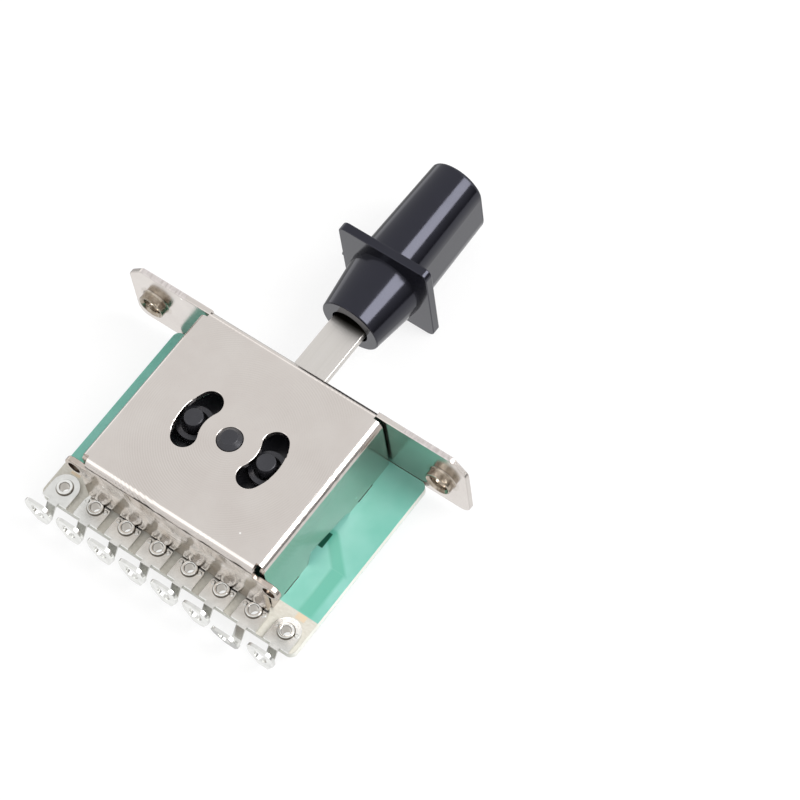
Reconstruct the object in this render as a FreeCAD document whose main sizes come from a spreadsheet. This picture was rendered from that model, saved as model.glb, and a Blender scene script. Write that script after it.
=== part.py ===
import FreeCAD, Part
import math
import os
import Sketcher

# Lever selector switch for a guitar: a folded sheet housing on a circuit board, with a rocking
# rotor inside, a flat lever blade through the mounting plate and a moulded knob on the blade.
#
# Frame: X along the mounting plate, +Y away from the front plate, +Z up along the lever.
# The origin is the middle of the mounting plate's top face. Sizes are in millimetres and degrees.

os.makedirs("parts", exist_ok=True)
doc = FreeCAD.newDocument("selector_switch")

SIZES = [
    # Housing: one folded sheet
    ("sheet", 0.7, "thickness of the housing sheet"),
    ("bend_inside", 0.4, "inside radius of the sheet's bends"),
    ("plate_end", 3.45, "tapped hole to the end of the plate"),
    ("plate_step", 0.15, "plate's ends behind the front face"),
    ("plate_chamfer", 2.0, "cut corners at the plate's front"),
    ("plate_ease", 0.9, "rounding where the plate's front corners are cut"),
    ("plate_round", 1.5, "round corners at the plate's back"),
    ("hole_spacing", 41.3, "between the two tapped holes"),
    ("tap_bore", 2.5, "tapped hole, core of the thread"),
    ("tap_lead", 0.25, "lead-in at the top of a tapped hole"),
    ("bush_diameter", 3.45, "drawn bush under a tapped hole"),
    ("bush_drop", 1.1, "bush below the plate"),
    ("bush_mouth", 0.3, "flared lower mouth of a bush"),
    ("bush_lip", 0.12, "rounding of a bush's lower rim"),
    ("bush_root", 0.25, "rounding where a bush leaves the plate"),
    ("box_width", 25.9, "outside, across the side walls"),
    ("box_depth", 9.9, "front face to the board"),
    ("pivot_drop", 12.2, "plate top to the pivot axis"),
    ("bearing_bore", 3.05, "front bearing hole"),
    ("punch_round", 0.14, "rolled-in rims of the punched front openings"),
    ("shear_round", 0.12, "rounding of the sheared outlines of plate ends and ears"),
    ("seam_top", 0.35, "open seam between side walls and mounting plate"),
    ("seam_gap", 0.15, "open seam between side walls and bottom wall"),
    ("slot_end_gap", 0.55, "blade to the slot's ends, at the end positions"),
    ("slot_side_gap", 0.4, "blade to the slot's sides"),
    ("slot_flat", 0.1, "straight end of the blade's slot between its round corners"),
    ("recess_above", 3.7, "wall recess, its top above the pivot"),
    ("recess_below", 4.3, "wall recess, its bottom below the pivot"),
    ("recess_shallow", 0.7, "wall recess, depth at its top"),
    ("recess_deep", 1.8, "wall recess, depth at its bottom"),
    ("recess_run", 0.9, "height of the recess's end slopes"),
    ("tab_height", 2.6, "wall tabs through the board"),
    ("tab_stand", 0.5, "tabs behind the board"),
    ("upper_tab_rise", 6.6, "upper tab's middle above the pivot"),
    ("lower_tab_fall", 7.3, "lower tab's middle below the pivot"),
    ("ear_reach", 0.95, "solder ears, hole centre beyond the side wall"),
    ("ear_setback", 3.35, "solder ears, hole centre behind the front"),
    ("ear_width", 2.7, "solder ears"),
    ("ear_hole", 1.65, "hole in a solder ear"),
    # Circuit board
    ("board_margin", 2.22, "outer lugs' middle to the board's sides"),
    ("board_skirt", 2.7, "board below the bottom wall"),
    ("board_thickness", 1.0, "board"),
    ("board_corner", 0.9, "board's round corners"),
    ("board_clearance", 0.05, "around what passes through the board"),
    ("track_height", 0.08, "plated contact pads on the board"),
    ("track_pad", 1.7, "diameter of a contact pad"),
    ("common_width", 1.6, "width of the common contact arc"),
    # Solder lugs and their eyelets
    ("lug_pitch", 4.58, "between the solder lugs"),
    ("lug_count", 8, "solder lugs in the row"),
    ("lug_sheet", 0.4, "thickness of a lug"),
    ("lug_width", 3.5, "base of a lug"),
    ("lug_clearance", 0.12, "bottom wall to the eyelets' rims"),
    ("eyelet_rise", 2.0, "eyelet axis above the board's bottom edge"),
    ("neck_width", 1.25, "neck between base and eye"),
    ("neck_root", 0.5, "straight neck below the board's edge"),
    ("neck_back", 1.25, "neck steps back under the board"),
    ("neck_fall", 1.0, "height of that step"),
    ("neck_slant", 0.12, "keeps the slanted neck as thick as the sheet"),
    ("neck_drop", 2.55, "board's bottom edge to the eye's underside"),
    ("eye_reach", 3.6, "eye's front edge before the board's face"),
    ("eye_width", 3.6, "eye of a lug"),
    ("eye_round", 1.2, "front corners of the eye"),
    ("eye_shoulder", 2.3, "eye's full width, back from its front edge"),
    ("eye_hole_width", 1.7, "oval hole in the eye, along X"),
    ("eye_hole_depth", 2.3, "oval hole in the eye, along Y"),
    ("eye_hole_setback", 1.75, "hole centre behind the eye's front edge"),
    ("bent_eye_droop", 0.8, "front edge of lug seven hangs lower"),
    ("lug_bend", 0.25, "inside radius of a lug's bends"),
    ("dimple_gap", 0.05, "dimples to the eyelet's rim"),
    ("dimple_diameter", 0.55, "locating dimples"),
    ("dimple_height", 0.14, "locating dimples"),
    ("dimple_cut", 0.1, "cut rim of the dimples"),
    ("dimple_rise", 0.15, "dimples above the eyelet's axis"),
    ("eyelet_wall", 0.2, "barrel's wall"),
    ("eyelet_bore", 1.2, "bore of an eyelet"),
    ("eyelet_flange", 0.2, "rolled rim beyond the barrel"),
    ("eyelet_round", 0.13, "rounding of the rolled rim"),
    ("eyelet_roll", 0.28, "thickness of the rolled rim"),
    # Rotor: one black moulding on the pivot axis
    ("running_gap", 0.04, "radial gap at the two bearings"),
    ("end_gap", 0.12, "axial gap at the hub's two shoulders"),
    ("post_stand", 0.5, "bearing post before the front face"),
    ("post_chamfer", 0.52, "post's cut rim"),
    ("post_crown", 0.1, "rounding between the post's cut rim and its end"),
    ("journal_cut", 0.19, "rear journal's cut rim"),
    ("hub_gap", 0.3, "hub to the wipers' inner tips"),
    ("journal_bore", 3.0, "rear bearing hole in the board"),
    ("journal_stand", 0.3, "rear journal behind the board"),
    ("web_gap", 1.3, "disc to the saddle's crests"),
    ("web_front", 3.0, "disc's face behind the front face"),
    ("web_thickness", 1.8, "disc"),
    ("pin_offset", 5.16, "slot pins from the pivot"),
    ("pin_radius", 1.15, "slot pins"),
    ("pin_round", 0.18, "rounded rim of the slot pins"),
    ("pin_gap_inside", 0.26, "pins to the slots' inner sides"),
    ("pin_gap_outside", 0.49, "pins to the slots' outer sides"),
    ("over_travel", 1.5, "slots' angle beyond the end positions"),
    ("ring_inner", 1.6, "ring boss around a pin"),
    ("ring_outer", 2.2, "ring boss around a pin"),
    ("ring_setback", 1.5, "ring boss behind the front face"),
    ("socket_wall", 1.05, "socket beside the blade's edges"),
    ("socket_cheek", 1.2, "socket before and behind the blade"),
    ("socket_gap", 1.9, "socket's top below the plate"),
    ("arm_wall", 1.05, "detent arm around the ball"),
    ("arm_gap", 1.0, "detent arm's end to the saddle's crests"),
    ("throw", 26.0, "lever angle each way, at the end positions"),
    ("lever_offset", 0.95, "lever behind the box's middle"),
    # Lever blade
    ("blade_width", 4.5, "blade along X"),
    ("blade_thickness", 1.0, "blade along Y"),
    ("blade_foot", 3.4, "blade's lower end above the pivot"),
    ("blade_grip", 11.95, "blade inside the knob"),
    ("blade_lead", 0.6, "cut corners at the blade's upper end"),
    ("blade_round", 0.12, "rounding of the blade's long edges"),
    ("fit_gap", 0.03, "around the blade in rotor and knob"),
    # Knob
    ("knob_foot", 21.55, "knob's lower end above the pivot"),
    ("cone_foot_radius", 3.95, "cone at its lower end"),
    ("cone_top_radius", 4.9, "cone under the collar"),
    ("cone_height", 7.15, "cone from its lower end to the collar"),
    ("collar_thickness", 1.1, "square collar"),
    ("collar_width", 12.6, "square collar along X"),
    ("collar_lip", 0.6, "collar before and behind the finger tip"),
    ("collar_round", 1.0, "collar's corners"),
    ("knob_offset", 0.15, "knob's middle behind the blade's"),
    ("tip_foot_radius", 3.85, "finger tip's round ends at the collar"),
    ("tip_top_radius", 3.55, "finger tip's round ends at the top"),
    ("tip_straight", 4.6, "between the centres of the round ends"),
    ("tip_height", 13.35, "finger tip above the collar"),
    ("tip_edge", 0.35, "round rim of the knob's top"),
    ("mouth_gap", 0.25, "round mouth under the knob, beside the blade"),
    ("mouth_depth", 2.6, "round mouth under the knob"),
    # Detent: ball, spring and notched saddle
    ("ball_diameter", 2.5, "detent ball"),
    ("ball_gap", 0.15, "ball to the saddle's crests"),
    ("bore_gap", 0.06, "around the ball in its bore"),
    ("spring_room", 3.9, "ball's middle to the bore's inner end"),
    ("crest_radius", 9.3, "saddle's crests from the pivot"),
    ("notch_depth", 0.35, "detent notches"),
    ("notch_radius", 1.35, "detent notches"),
    ("notch_count", 5, "lever positions"),
    ("saddle_width", 16.6, "saddle along X"),
    ("saddle_fall", 5.6, "saddle's top below the pivot"),
    ("saddle_web", 1.6, "saddle under its crests"),
    ("saddle_gap", 0.1, "saddle to the front plate and the board"),
    ("wire_diameter", 0.34, "detent spring's wire"),
    ("coil_count", 4.5, "detent spring's turns"),
    # Wipers
    ("wiper_sheet", 0.22, "thickness of a wiper"),
    ("wiper_width", 2.4, "wiper across"),
    ("wiper_slit", 0.4, "slit between a wiper's fingers"),
    ("wiper_run", 1.0, "boss to a wiper's contacts"),
    ("wiper_tip", 0.5, "length of a wiper's turned-up tip"),
    ("wiper_gap", 0.06, "contact to the plated pads"),
    ("wiper_knee", 0.264, "wiper's thickness measured along Y at its contacts"),
    ("boss_inner", 4.9, "wiper boss, inner end"),
    ("boss_length", 2.4, "wiper boss, along X"),
    ("boss_gap", 1.7, "wiper boss to the board"),
    ("stake_radius", 0.5, "pin that holds a wiper"),
    # Cutters reach this far beyond what they cut
    ("cut_margin", 1.0, "cutters beyond the solid"),
]

# What follows from the sizes: each line is a name, its rule and what it is
FITS = [
    ("plate_length", "hole_spacing + 2 * plate_end", "mounting plate along X"),
    ("plate_depth", "box_depth + board_thickness", "mounting plate along Y, over the board's edge"),
    ("box_drop", "pivot_drop + crest_radius + saddle_web + sheet",
     "plate top to the bottom wall's underside"),
    ("outer_bend", "sheet + bend_inside", "outside radius of the sheet's bends"),
    ("flat_half", "box_width / 2 - outer_bend", "half of the front plate between its upright bends"),
    ("lug_front", "box_depth - lug_sheet - eyelet_roll - lug_clearance", "bottom wall's back edge"),
    ("lever_setback", "box_depth / 2 + lever_offset", "blade's middle behind the front face"),
    ("lever_reach", "pivot_drop * tan(throw) + blade_width / 2 / cos(throw)", "blade's travel in the plate"),
    ("lever_slot_length", "2 * (lever_reach + slot_end_gap)", "slot for the blade"),
    ("lever_slot_width", "blade_thickness + 2 * slot_side_gap", "slot for the blade"),
    ("slot_inner", "pin_offset - pin_radius - pin_gap_inside", "inner radius of the curved slots"),
    ("slot_outer", "pin_offset + pin_radius + pin_gap_outside", "outer radius of the curved slots"),
    ("slot_half_angle", "throw + over_travel", "pivot angle of a curved slot's end centres"),
    ("ear_x", "box_width / 2 + ear_reach", "solder ears, hole centre from the middle"),
    ("board_width", "lug_pitch * (lug_count - 1) + 2 * board_margin", "board along X"),
    ("board_drop", "box_drop + board_skirt", "plate top to the board's bottom edge"),
    ("eyelet_fall", "board_drop - pivot_drop - eyelet_rise", "eyelets below the pivot"),
    ("eyelet_barrel", "eyelet_bore + 2 * eyelet_wall", "outside of an eyelet's barrel"),
    ("eyelet_rim", "eyelet_barrel + 2 * eyelet_flange", "rolled rim of an eyelet"),
    ("dimple_offset", "eyelet_rim / 2 + dimple_gap + dimple_diameter / 2", "dimples beside the eyelet"),
    ("step_back", "neck_back - lug_sheet", "neck's front face behind the board's front"),
    ("eye_floor", "-(eyelet_rise + neck_drop)", "eye's underside, from the eyelet's axis"),
    ("boss_outer", "boss_inner + boss_length", "wiper boss, outer end"),
    ("boss_back", "box_depth - boss_gap", "wiper boss's face behind the front face"),
    ("wiper_inner", "boss_inner - wiper_run", "inner contact from the pivot"),
    ("wiper_outer", "boss_outer + wiper_run", "outer contact from the pivot"),
    ("wiper_touch", "box_depth - track_height - wiper_gap", "contacts behind the front face"),
    ("hub_radius", "wiper_inner - wiper_tip - hub_gap", "hub around the pivot"),
    ("web_radius", "crest_radius - web_gap", "disc that backs the slots"),
    ("socket_width", "blade_width + 2 * socket_wall", "blade socket along X"),
    ("socket_depth", "blade_thickness + 2 * socket_cheek", "blade socket along Y"),
    ("socket_top", "pivot_drop - sheet - socket_gap", "blade socket's top above the pivot"),
    ("arm_width", "ball_diameter + 2 * arm_wall", "detent arm"),
    ("arm_end", "crest_radius - arm_gap", "detent arm's end below the pivot"),
    ("ball_reach", "crest_radius - ball_gap - ball_diameter / 2", "ball's middle below the pivot"),
    ("bore_top", "ball_reach - spring_room", "bore's inner end below the pivot"),
    ("blade_top", "knob_foot + blade_grip", "blade's upper end above the pivot"),
    ("knob_setback", "lever_setback + knob_offset", "knob's middle behind the front face"),
    ("collar_bottom", "knob_foot + cone_height", "collar's underside above the pivot"),
    ("collar_depth", "tip_straight + 2 * (tip_foot_radius + collar_lip)", "square collar along Y"),
    ("tip_foot", "collar_bottom + collar_thickness", "collar's top above the pivot"),
    ("tip_top", "tip_foot + tip_height", "knob's top above the pivot"),
    ("mouth_radius", "blade_width / 2 + mouth_gap", "round mouth under the knob"),
]

sheet = doc.addObject("Spreadsheet::Sheet", "Sizes")
for row, (alias, value, note) in enumerate(SIZES, start=1):
    sheet.set(f"A{row}", alias)
    sheet.set(f"B{row}", str(value))
    sheet.setAlias(f"B{row}", alias)
    sheet.set(f"C{row}", note)
doc.recompute()
SHEET_OF = {alias: "Sizes." for alias, value, note in SIZES}


def cells(text):
    """An expression on the sheets: each word that is an alias gets its sheet's name."""
    out = []
    word = ""
    for letter in text + " ":
        if letter.isalnum() or letter == "_":
            word += letter
            continue
        out.append(SHEET_OF.get(word, "") + word)
        out.append(letter)
        word = ""
    return "".join(out).strip()


fits = doc.addObject("Spreadsheet::Sheet", "Fits")
for row, (alias, rule, note) in enumerate(FITS, start=1):
    fits.set(f"A{row}", alias)
    fits.set(f"B{row}", "=" + cells(rule))
    fits.setAlias(f"B{row}", alias)
    fits.set(f"C{row}", note)
doc.recompute()
SHEET_OF.update({alias: "Fits." for alias, rule, note in FITS})


def size(alias):
    """The value of one cell, for finding edges and first positions."""
    holder = sheet if SHEET_OF[alias] == "Sizes." else fits
    return float(holder.get(alias))


PIECES = []


def new_body(label, x="0", y="0", z="0"):
    """A body whose own origin stands at x, y, z in the switch's frame."""
    body = doc.addObject("PartDesign::Body", label)
    body.Label = label
    for axis, text in (("x", x), ("y", y), ("z", z)):
        body.setExpression(f"Placement.Base.{axis}", cells(text))
    PIECES.append(body)
    return body


def plane(body, role):
    return [item for item in body.Origin.OriginFeatures if item.Role == role][0]


def new_sketch(body, name, role, offset="0"):
    """A sketch on XY, XZ or YZ, lifted along the plane's normal. XZ faces -Y."""
    sketch = body.newObject("Sketcher::SketchObject", name)
    sketch.AttachmentSupport = [(plane(body, role + "_Plane"), "")]
    sketch.MapMode = "FlatFace"
    sketch.setExpression("AttachmentOffset.Base.z", cells(offset))
    return sketch


def hold(sketch, kind, geometry, vertex, text):
    """Holds one coordinate of a point, measured from the sketch's origin."""
    point = sketch.getPoint(geometry, vertex)
    now = point.x if kind == "DistanceX" else point.y
    index = sketch.addConstraint(Sketcher.Constraint(kind, -1, 1, geometry, vertex, now))
    sketch.setExpression(f"Constraints[{index}]", cells(text))


def pin(sketch, geometry, vertex, x, y):
    """Holds one point of the sketch at x, y."""
    hold(sketch, "DistanceX", geometry, vertex, x)
    hold(sketch, "DistanceY", geometry, vertex, y)


def polygon(sketch, corners):
    """A closed outline with every corner pinned."""
    count = len(corners)
    turn = [2 * math.pi * k / count for k in range(count)]
    start = [FreeCAD.Vector(math.cos(angle), math.sin(angle), 0) for angle in turn]
    lines = [sketch.addGeometry(Part.LineSegment(start[k], start[(k + 1) % count])) for k in range(count)]
    for k, line in enumerate(lines):
        sketch.addConstraint(Sketcher.Constraint("Coincident", line, 2, lines[(k + 1) % count], 1))
    for line, (x, y) in zip(lines, corners):
        pin(sketch, line, 1, x, y)


def circle(sketch, x, y, radius):
    index = sketch.addGeometry(Part.Circle(FreeCAD.Vector(0, 0, 0), FreeCAD.Vector(0, 0, 1), 1.0))
    pin(sketch, index, 3, x, y)
    rule = sketch.addConstraint(Sketcher.Constraint("Radius", index, 1.0))
    sketch.setExpression(f"Constraints[{rule}]", cells(radius))


def arc_chain(sketch, pieces):
    """Arcs given as (centre, radius, start angle, end angle). For each arc: its number in the
    sketch, then its start point and its end point."""
    ends = []
    for centre, radius, first, last in pieces:
        low, high = math.radians(min(first, last)), math.radians(max(first, last))
        ring = Part.Circle(FreeCAD.Vector(centre[0], centre[1], 0), FreeCAD.Vector(0, 0, 1), radius)
        index = sketch.addGeometry(Part.ArcOfCircle(ring, low, high))
        ends.append((index, 1, 2) if last > first else (index, 2, 1))
    return ends


def stadium(sketch, middle_y, radius, straight):
    """Two half circles joined by lines along the sketch's second axis."""
    r = size(radius)
    low = size(middle_y) - size(straight) / 2
    high = low + size(straight)
    first, second = arc_chain(sketch, [((0, low), r, 180, 360), ((0, high), r, 0, 180)])
    up = Part.LineSegment(FreeCAD.Vector(r, low, 0), FreeCAD.Vector(r, high, 0))
    down = Part.LineSegment(FreeCAD.Vector(-r, high, 0), FreeCAD.Vector(-r, low, 0))
    right = sketch.addGeometry(up)
    left = sketch.addGeometry(down)
    sketch.addConstraint(Sketcher.Constraint("Tangent", first[0], 2, right, 1))
    sketch.addConstraint(Sketcher.Constraint("Tangent", right, 2, second[0], 1))
    sketch.addConstraint(Sketcher.Constraint("Tangent", second[0], 2, left, 1))
    sketch.addConstraint(Sketcher.Constraint("Tangent", left, 2, first[0], 1))
    pin(sketch, first[0], 3, "0", f"{middle_y} - {straight} / 2")
    pin(sketch, second[0], 3, "0", f"{middle_y} + {straight} / 2")
    rule = sketch.addConstraint(Sketcher.Constraint("Radius", first[0], r))
    sketch.setExpression(f"Constraints[{rule}]", cells(radius))


def kidney(sketch, side):
    """One curved slot around the pivot, on the side +1 (right) or -1 (left)."""
    inner, outer, sweep = size("slot_inner"), size("slot_outer"), size("slot_half_angle")
    drop = -size("pivot_drop")
    middle = 0 if side > 0 else 180
    reach, cap = (inner + outer) / 2, (outer - inner) / 2
    low, high = middle - sweep, middle + sweep

    def centre(angle):
        turn = math.radians(angle)
        return (reach * math.cos(turn), drop + reach * math.sin(turn))

    big, small, lower, upper = arc_chain(sketch, [
        ((0, drop), outer, low, high),
        ((0, drop), inner, low, high),
        (centre(low), cap, low - 180, low),
        (centre(high), cap, high, high + 180),
    ])
    for ring in (big, small):
        pin(sketch, ring[0], 3, "0", "-pivot_drop")
    sketch.addConstraint(Sketcher.Constraint("Tangent", big[0], 1, lower[0], 2))
    sketch.addConstraint(Sketcher.Constraint("Tangent", big[0], 2, upper[0], 1))
    sketch.addConstraint(Sketcher.Constraint("Tangent", small[0], 2, upper[0], 2))
    sketch.addConstraint(Sketcher.Constraint("Tangent", small[0], 1, lower[0], 1))
    for ring, text in ((big, "slot_outer"), (small, "slot_inner")):
        rule = sketch.addConstraint(Sketcher.Constraint("Radius", ring[0], size(text)))
        sketch.setExpression(f"Constraints[{rule}]", cells(text))
    for cap_arc, sign in ((lower, -side), (upper, side)):
        rise = f"{sign} * (slot_inner + slot_outer) / 2 * sin(slot_half_angle) - pivot_drop"
        hold(sketch, "DistanceY", cap_arc[0], 3, rise)


def pad(body, name, sketch, length, both=False, back=False):
    """Adds the sketch's area, along its normal, against it (back) or to both sides."""
    feature = body.newObject("PartDesign::Pad", name)
    feature.Profile = sketch
    feature.setExpression("Length", cells(length))
    feature.SideType = "Symmetric" if both else "One side"
    feature.Reversed = back
    doc.recompute()
    return feature


def pocket(body, name, sketch, length, both=False, back=False):
    """Cuts the sketch's area, against its normal, along it (back) or to both sides."""
    before = body.Shape.Volume
    feature = body.newObject("PartDesign::Pocket", name)
    feature.Profile = sketch
    feature.setExpression("Length", cells(length))
    feature.SideType = "Symmetric" if both else "One side"
    feature.Reversed = back
    doc.recompute()
    if body.Shape.Volume > before - 1e-6:
        raise RuntimeError(f"{body.Label}: {name} cut nothing")
    return feature


def picked(feature, test):
    """The names of the edges whose middle and direction pass the test."""
    names = []
    for index, edge in enumerate(feature.Shape.Edges, start=1):
        middle = edge.valueAt((edge.FirstParameter + edge.LastParameter) / 2)
        straight = edge.Curve.TypeId == "Part::GeomLine"
        run = edge.Curve.Direction if straight else FreeCAD.Vector(0, 0, 0)
        if test(middle, run, edge):
            names.append(f"Edge{index}")
    return names


def near(value, target):
    return abs(value - target) < 0.02


def ring_of(edge, radius):
    """Whether the edge is a circle of that radius."""
    return edge.Curve.TypeId == "Part::GeomCircle" and near(edge.Curve.Radius, radius)


def round_edges(body, name, radius, test, kind="Fillet"):
    """Rounds or cuts the edges that pass the test."""
    base = body.Tip
    names = picked(base, test)
    if not names:
        raise RuntimeError(f"{body.Label}: {name} found no edge")
    feature = body.newObject("PartDesign::" + kind, name)
    feature.Base = (base, names)
    feature.setExpression("Radius" if kind == "Fillet" else "Size", cells(radius))
    doc.recompute()
    if feature.Shape.isNull():
        raise RuntimeError(f"{body.Label}: {name} failed")
    return feature


FRONT = "-plate_depth / 2"
BOARD_FACE = "box_depth - plate_depth / 2"


def housing():
    """Front plate, mounting plate, side walls and bottom wall, folded from one sheet.
    The body's origin is on the front plate's outer face, at the height of the plate's top."""
    body = new_body("housing", y=FRONT)
    half_box = size("box_width") / 2

    # Channel: mounting plate, front plate and bottom wall, with their two long bends
    channel = new_sketch(body, "channel", "YZ")
    polygon(channel, [
        ("0", "0"),
        ("plate_depth", "0"),
        ("plate_depth", "-sheet"),
        ("sheet", "-sheet"),
        ("sheet", "sheet - box_drop"),
        ("lug_front", "sheet - box_drop"),
        ("lug_front", "-box_drop"),
        ("0", "-box_drop"),
    ])
    pad(body, "channel_pad", channel, "2 * flat_half", both=True)
    heights = (0, -size("box_drop"))
    inside = (-size("sheet"), size("sheet") - size("box_drop"))
    round_edges(body, "channel_outside", "outer_bend", lambda p, run, e: abs(run.x) > 0.9
                and near(p.y, 0) and any(near(p.z, z) for z in heights))
    round_edges(body, "channel_inside", "bend_inside", lambda p, run, e: abs(run.x) > 0.9
                and near(p.y, size("sheet")) and any(near(p.z, z) for z in inside))

    # Upright bends between the front plate and the side walls, clear of the long bends
    corners = new_sketch(body, "upright_bends", "XY", "-outer_bend")
    for side in ("", "-"):
        polygon(corners, [
            (f"{side}flat_half", "0"),
            (f"{side}box_width / 2", "0"),
            (f"{side}box_width / 2", "outer_bend"),
            (f"{side}(box_width / 2 - sheet)", "outer_bend"),
            (f"{side}(box_width / 2 - sheet)", "sheet"),
            (f"{side}flat_half", "sheet"),
        ])
    pad(body, "upright_pad", corners, "box_drop - 2 * outer_bend", back=True)

    # Side walls, with the recess that shows the board and two tabs each through the board
    tab_back = "box_depth + board_thickness + tab_stand"
    for label, base in (("right", "box_width / 2 - sheet"), ("left", "-box_width / 2")):
        wall = new_sketch(body, f"{label}_wall", "YZ", base)
        polygon(wall, [
            ("outer_bend", "-sheet - seam_top"),
            ("box_depth", "-sheet - seam_top"),
            ("box_depth", "upper_tab_rise + tab_height / 2 - pivot_drop"),
            (tab_back, "upper_tab_rise + tab_height / 2 - pivot_drop"),
            (tab_back, "upper_tab_rise - tab_height / 2 - pivot_drop"),
            ("box_depth", "upper_tab_rise - tab_height / 2 - pivot_drop"),
            ("box_depth", "recess_above - pivot_drop"),
            ("box_depth - recess_shallow", "recess_above - recess_run - pivot_drop"),
            ("box_depth - recess_deep", "recess_run - recess_below - pivot_drop"),
            ("box_depth", "-recess_below - pivot_drop"),
            ("box_depth", "tab_height / 2 - lower_tab_fall - pivot_drop"),
            (tab_back, "tab_height / 2 - lower_tab_fall - pivot_drop"),
            (tab_back, "-tab_height / 2 - lower_tab_fall - pivot_drop"),
            ("box_depth", "-tab_height / 2 - lower_tab_fall - pivot_drop"),
            ("box_depth", "sheet + seam_gap - box_drop"),
            ("outer_bend", "sheet + seam_gap - box_drop"),
        ])
        pad(body, f"{label}_wall_pad", wall, "sheet")
    round_edges(body, "upright_outside", "outer_bend", lambda p, run, e: abs(run.z) > 0.9
                and near(p.y, 0) and near(abs(p.x), half_box))
    round_edges(body, "upright_inside", "bend_inside", lambda p, run, e: abs(run.z) > 0.9
                and near(p.y, size("sheet")) and near(abs(p.x), half_box - size("sheet")))

    # Ends of the mounting plate beyond the box
    ends = new_sketch(body, "plate_ends", "XY")
    for side in ("", "-"):
        polygon(ends, [
            (f"{side}flat_half", "plate_step"),
            (f"{side}plate_length / 2", "plate_step"),
            (f"{side}plate_length / 2", "plate_depth"),
            (f"{side}flat_half", "plate_depth"),
        ])
    pad(body, "plate_ends_pad", ends, "sheet", back=True)
    half_plate = size("plate_length") / 2
    round_edges(body, "plate_front_corners", "plate_chamfer", lambda p, run, e: abs(run.z) > 0.9
                and near(p.y, size("plate_step")) and near(abs(p.x), half_plate), kind="Chamfer")
    cut_start = half_plate - size("plate_chamfer")
    cut_end = size("plate_step") + size("plate_chamfer")
    round_edges(body, "plate_front_ease", "plate_ease", lambda p, run, e: abs(run.z) > 0.9
                and (near(p.y, size("plate_step")) and near(abs(p.x), cut_start)
                     or near(p.y, cut_end) and near(abs(p.x), half_plate)))
    round_edges(body, "plate_back_corners", "plate_round", lambda p, run, e: abs(run.z) > 0.9
                and near(p.y, size("plate_depth")) and near(abs(p.x), half_plate))

    # Solder ears on the bottom wall, which also runs out under the side walls
    ears = new_sketch(body, "bottom_wall_sides", "XY", "-box_drop")
    for side in ("", "-"):
        polygon(ears, [
            (f"{side}flat_half", "ear_setback - ear_width / 2"),
            (f"{side}ear_x", "ear_setback - ear_width / 2"),
            (f"{side}ear_x", "ear_setback + ear_width / 2"),
            (f"{side}box_width / 2", "ear_setback + ear_width / 2"),
            (f"{side}box_width / 2", "lug_front"),
            (f"{side}flat_half", "lug_front"),
        ])
    pad(body, "bottom_wall_sides_pad", ears, "sheet")
    tips = new_sketch(body, "ear_ends", "XY", "-box_drop")
    holes = new_sketch(body, "ear_holes", "XY", "-box_drop")
    for side in ("", "-"):
        circle(tips, f"{side}ear_x", "ear_setback", "ear_width / 2")
        circle(holes, f"{side}ear_x", "ear_setback", "ear_hole / 2")
    pad(body, "ear_ends_pad", tips, "sheet")
    pocket(body, "ear_holes_cut", holes, "sheet", back=True)

    # Drawn and tapped bushes for the two mounting screws
    bushes = new_sketch(body, "bushes", "XY", "-sheet")
    bores = new_sketch(body, "tapped_bores", "XY")
    for side in ("", "-"):
        circle(bushes, f"{side}hole_spacing / 2", "plate_depth / 2", "bush_diameter / 2")
        circle(bores, f"{side}hole_spacing / 2", "plate_depth / 2", "tap_bore / 2")
    pad(body, "bushes_pad", bushes, "bush_drop", back=True)
    pocket(body, "tapped_bores_cut", bores, "sheet + bush_drop")
    bore_radius, bush_radius = size("tap_bore") / 2, size("bush_diameter") / 2
    bush_foot = -size("sheet") - size("bush_drop")
    round_edges(body, "tap_lead_in", "tap_lead", lambda p, run, e: near(p.z, 0)
                and ring_of(e, bore_radius), kind="Chamfer")
    round_edges(body, "bush_mouths", "bush_mouth", lambda p, run, e: near(p.z, bush_foot)
                and ring_of(e, bore_radius), kind="Chamfer")
    round_edges(body, "bush_lips", "bush_lip", lambda p, run, e: near(p.z, bush_foot)
                and ring_of(e, bush_radius))
    round_edges(body, "bush_roots", "bush_root", lambda p, run, e: near(p.z, -size("sheet"))
                and ring_of(e, bush_radius))

    # Sheared outlines of the plate's ends and of the ears
    half_spacing = size("hole_spacing") / 2
    hole_y = size("plate_depth") / 2
    clear_of_bush = bush_radius + size("bush_root") + size("tap_lead")
    outline_start = size("flat_half") + size("outer_bend")
    round_edges(body, "plate_outline", "shear_round", lambda p, run, e: abs(p.x) > outline_start
                and (near(p.z, 0) or near(p.z, -size("sheet")))
                and math.hypot(abs(p.x) - half_spacing, p.y - hole_y) > clear_of_bush)
    ear_levels = (-size("box_drop"), size("sheet") - size("box_drop"))
    round_edges(body, "ear_outline", "shear_round", lambda p, run, e: abs(p.x) > outline_start
                and any(near(p.z, level) for level in ear_levels)
                and not ring_of(e, size("ear_hole") / 2))

    # Front plate: bearing hole and the two curved slots
    front = new_sketch(body, "front_openings", "XZ")
    circle(front, "0", "-pivot_drop", "bearing_bore / 2")
    kidney(front, 1)
    kidney(front, -1)
    pocket(body, "front_openings_cut", front, "sheet")
    round_edges(body, "punched_rims", "punch_round", lambda p, run, e: near(p.y, 0)
                and e.Curve.TypeId == "Part::GeomCircle" and abs(e.Curve.Axis.y) > 0.9)

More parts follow.
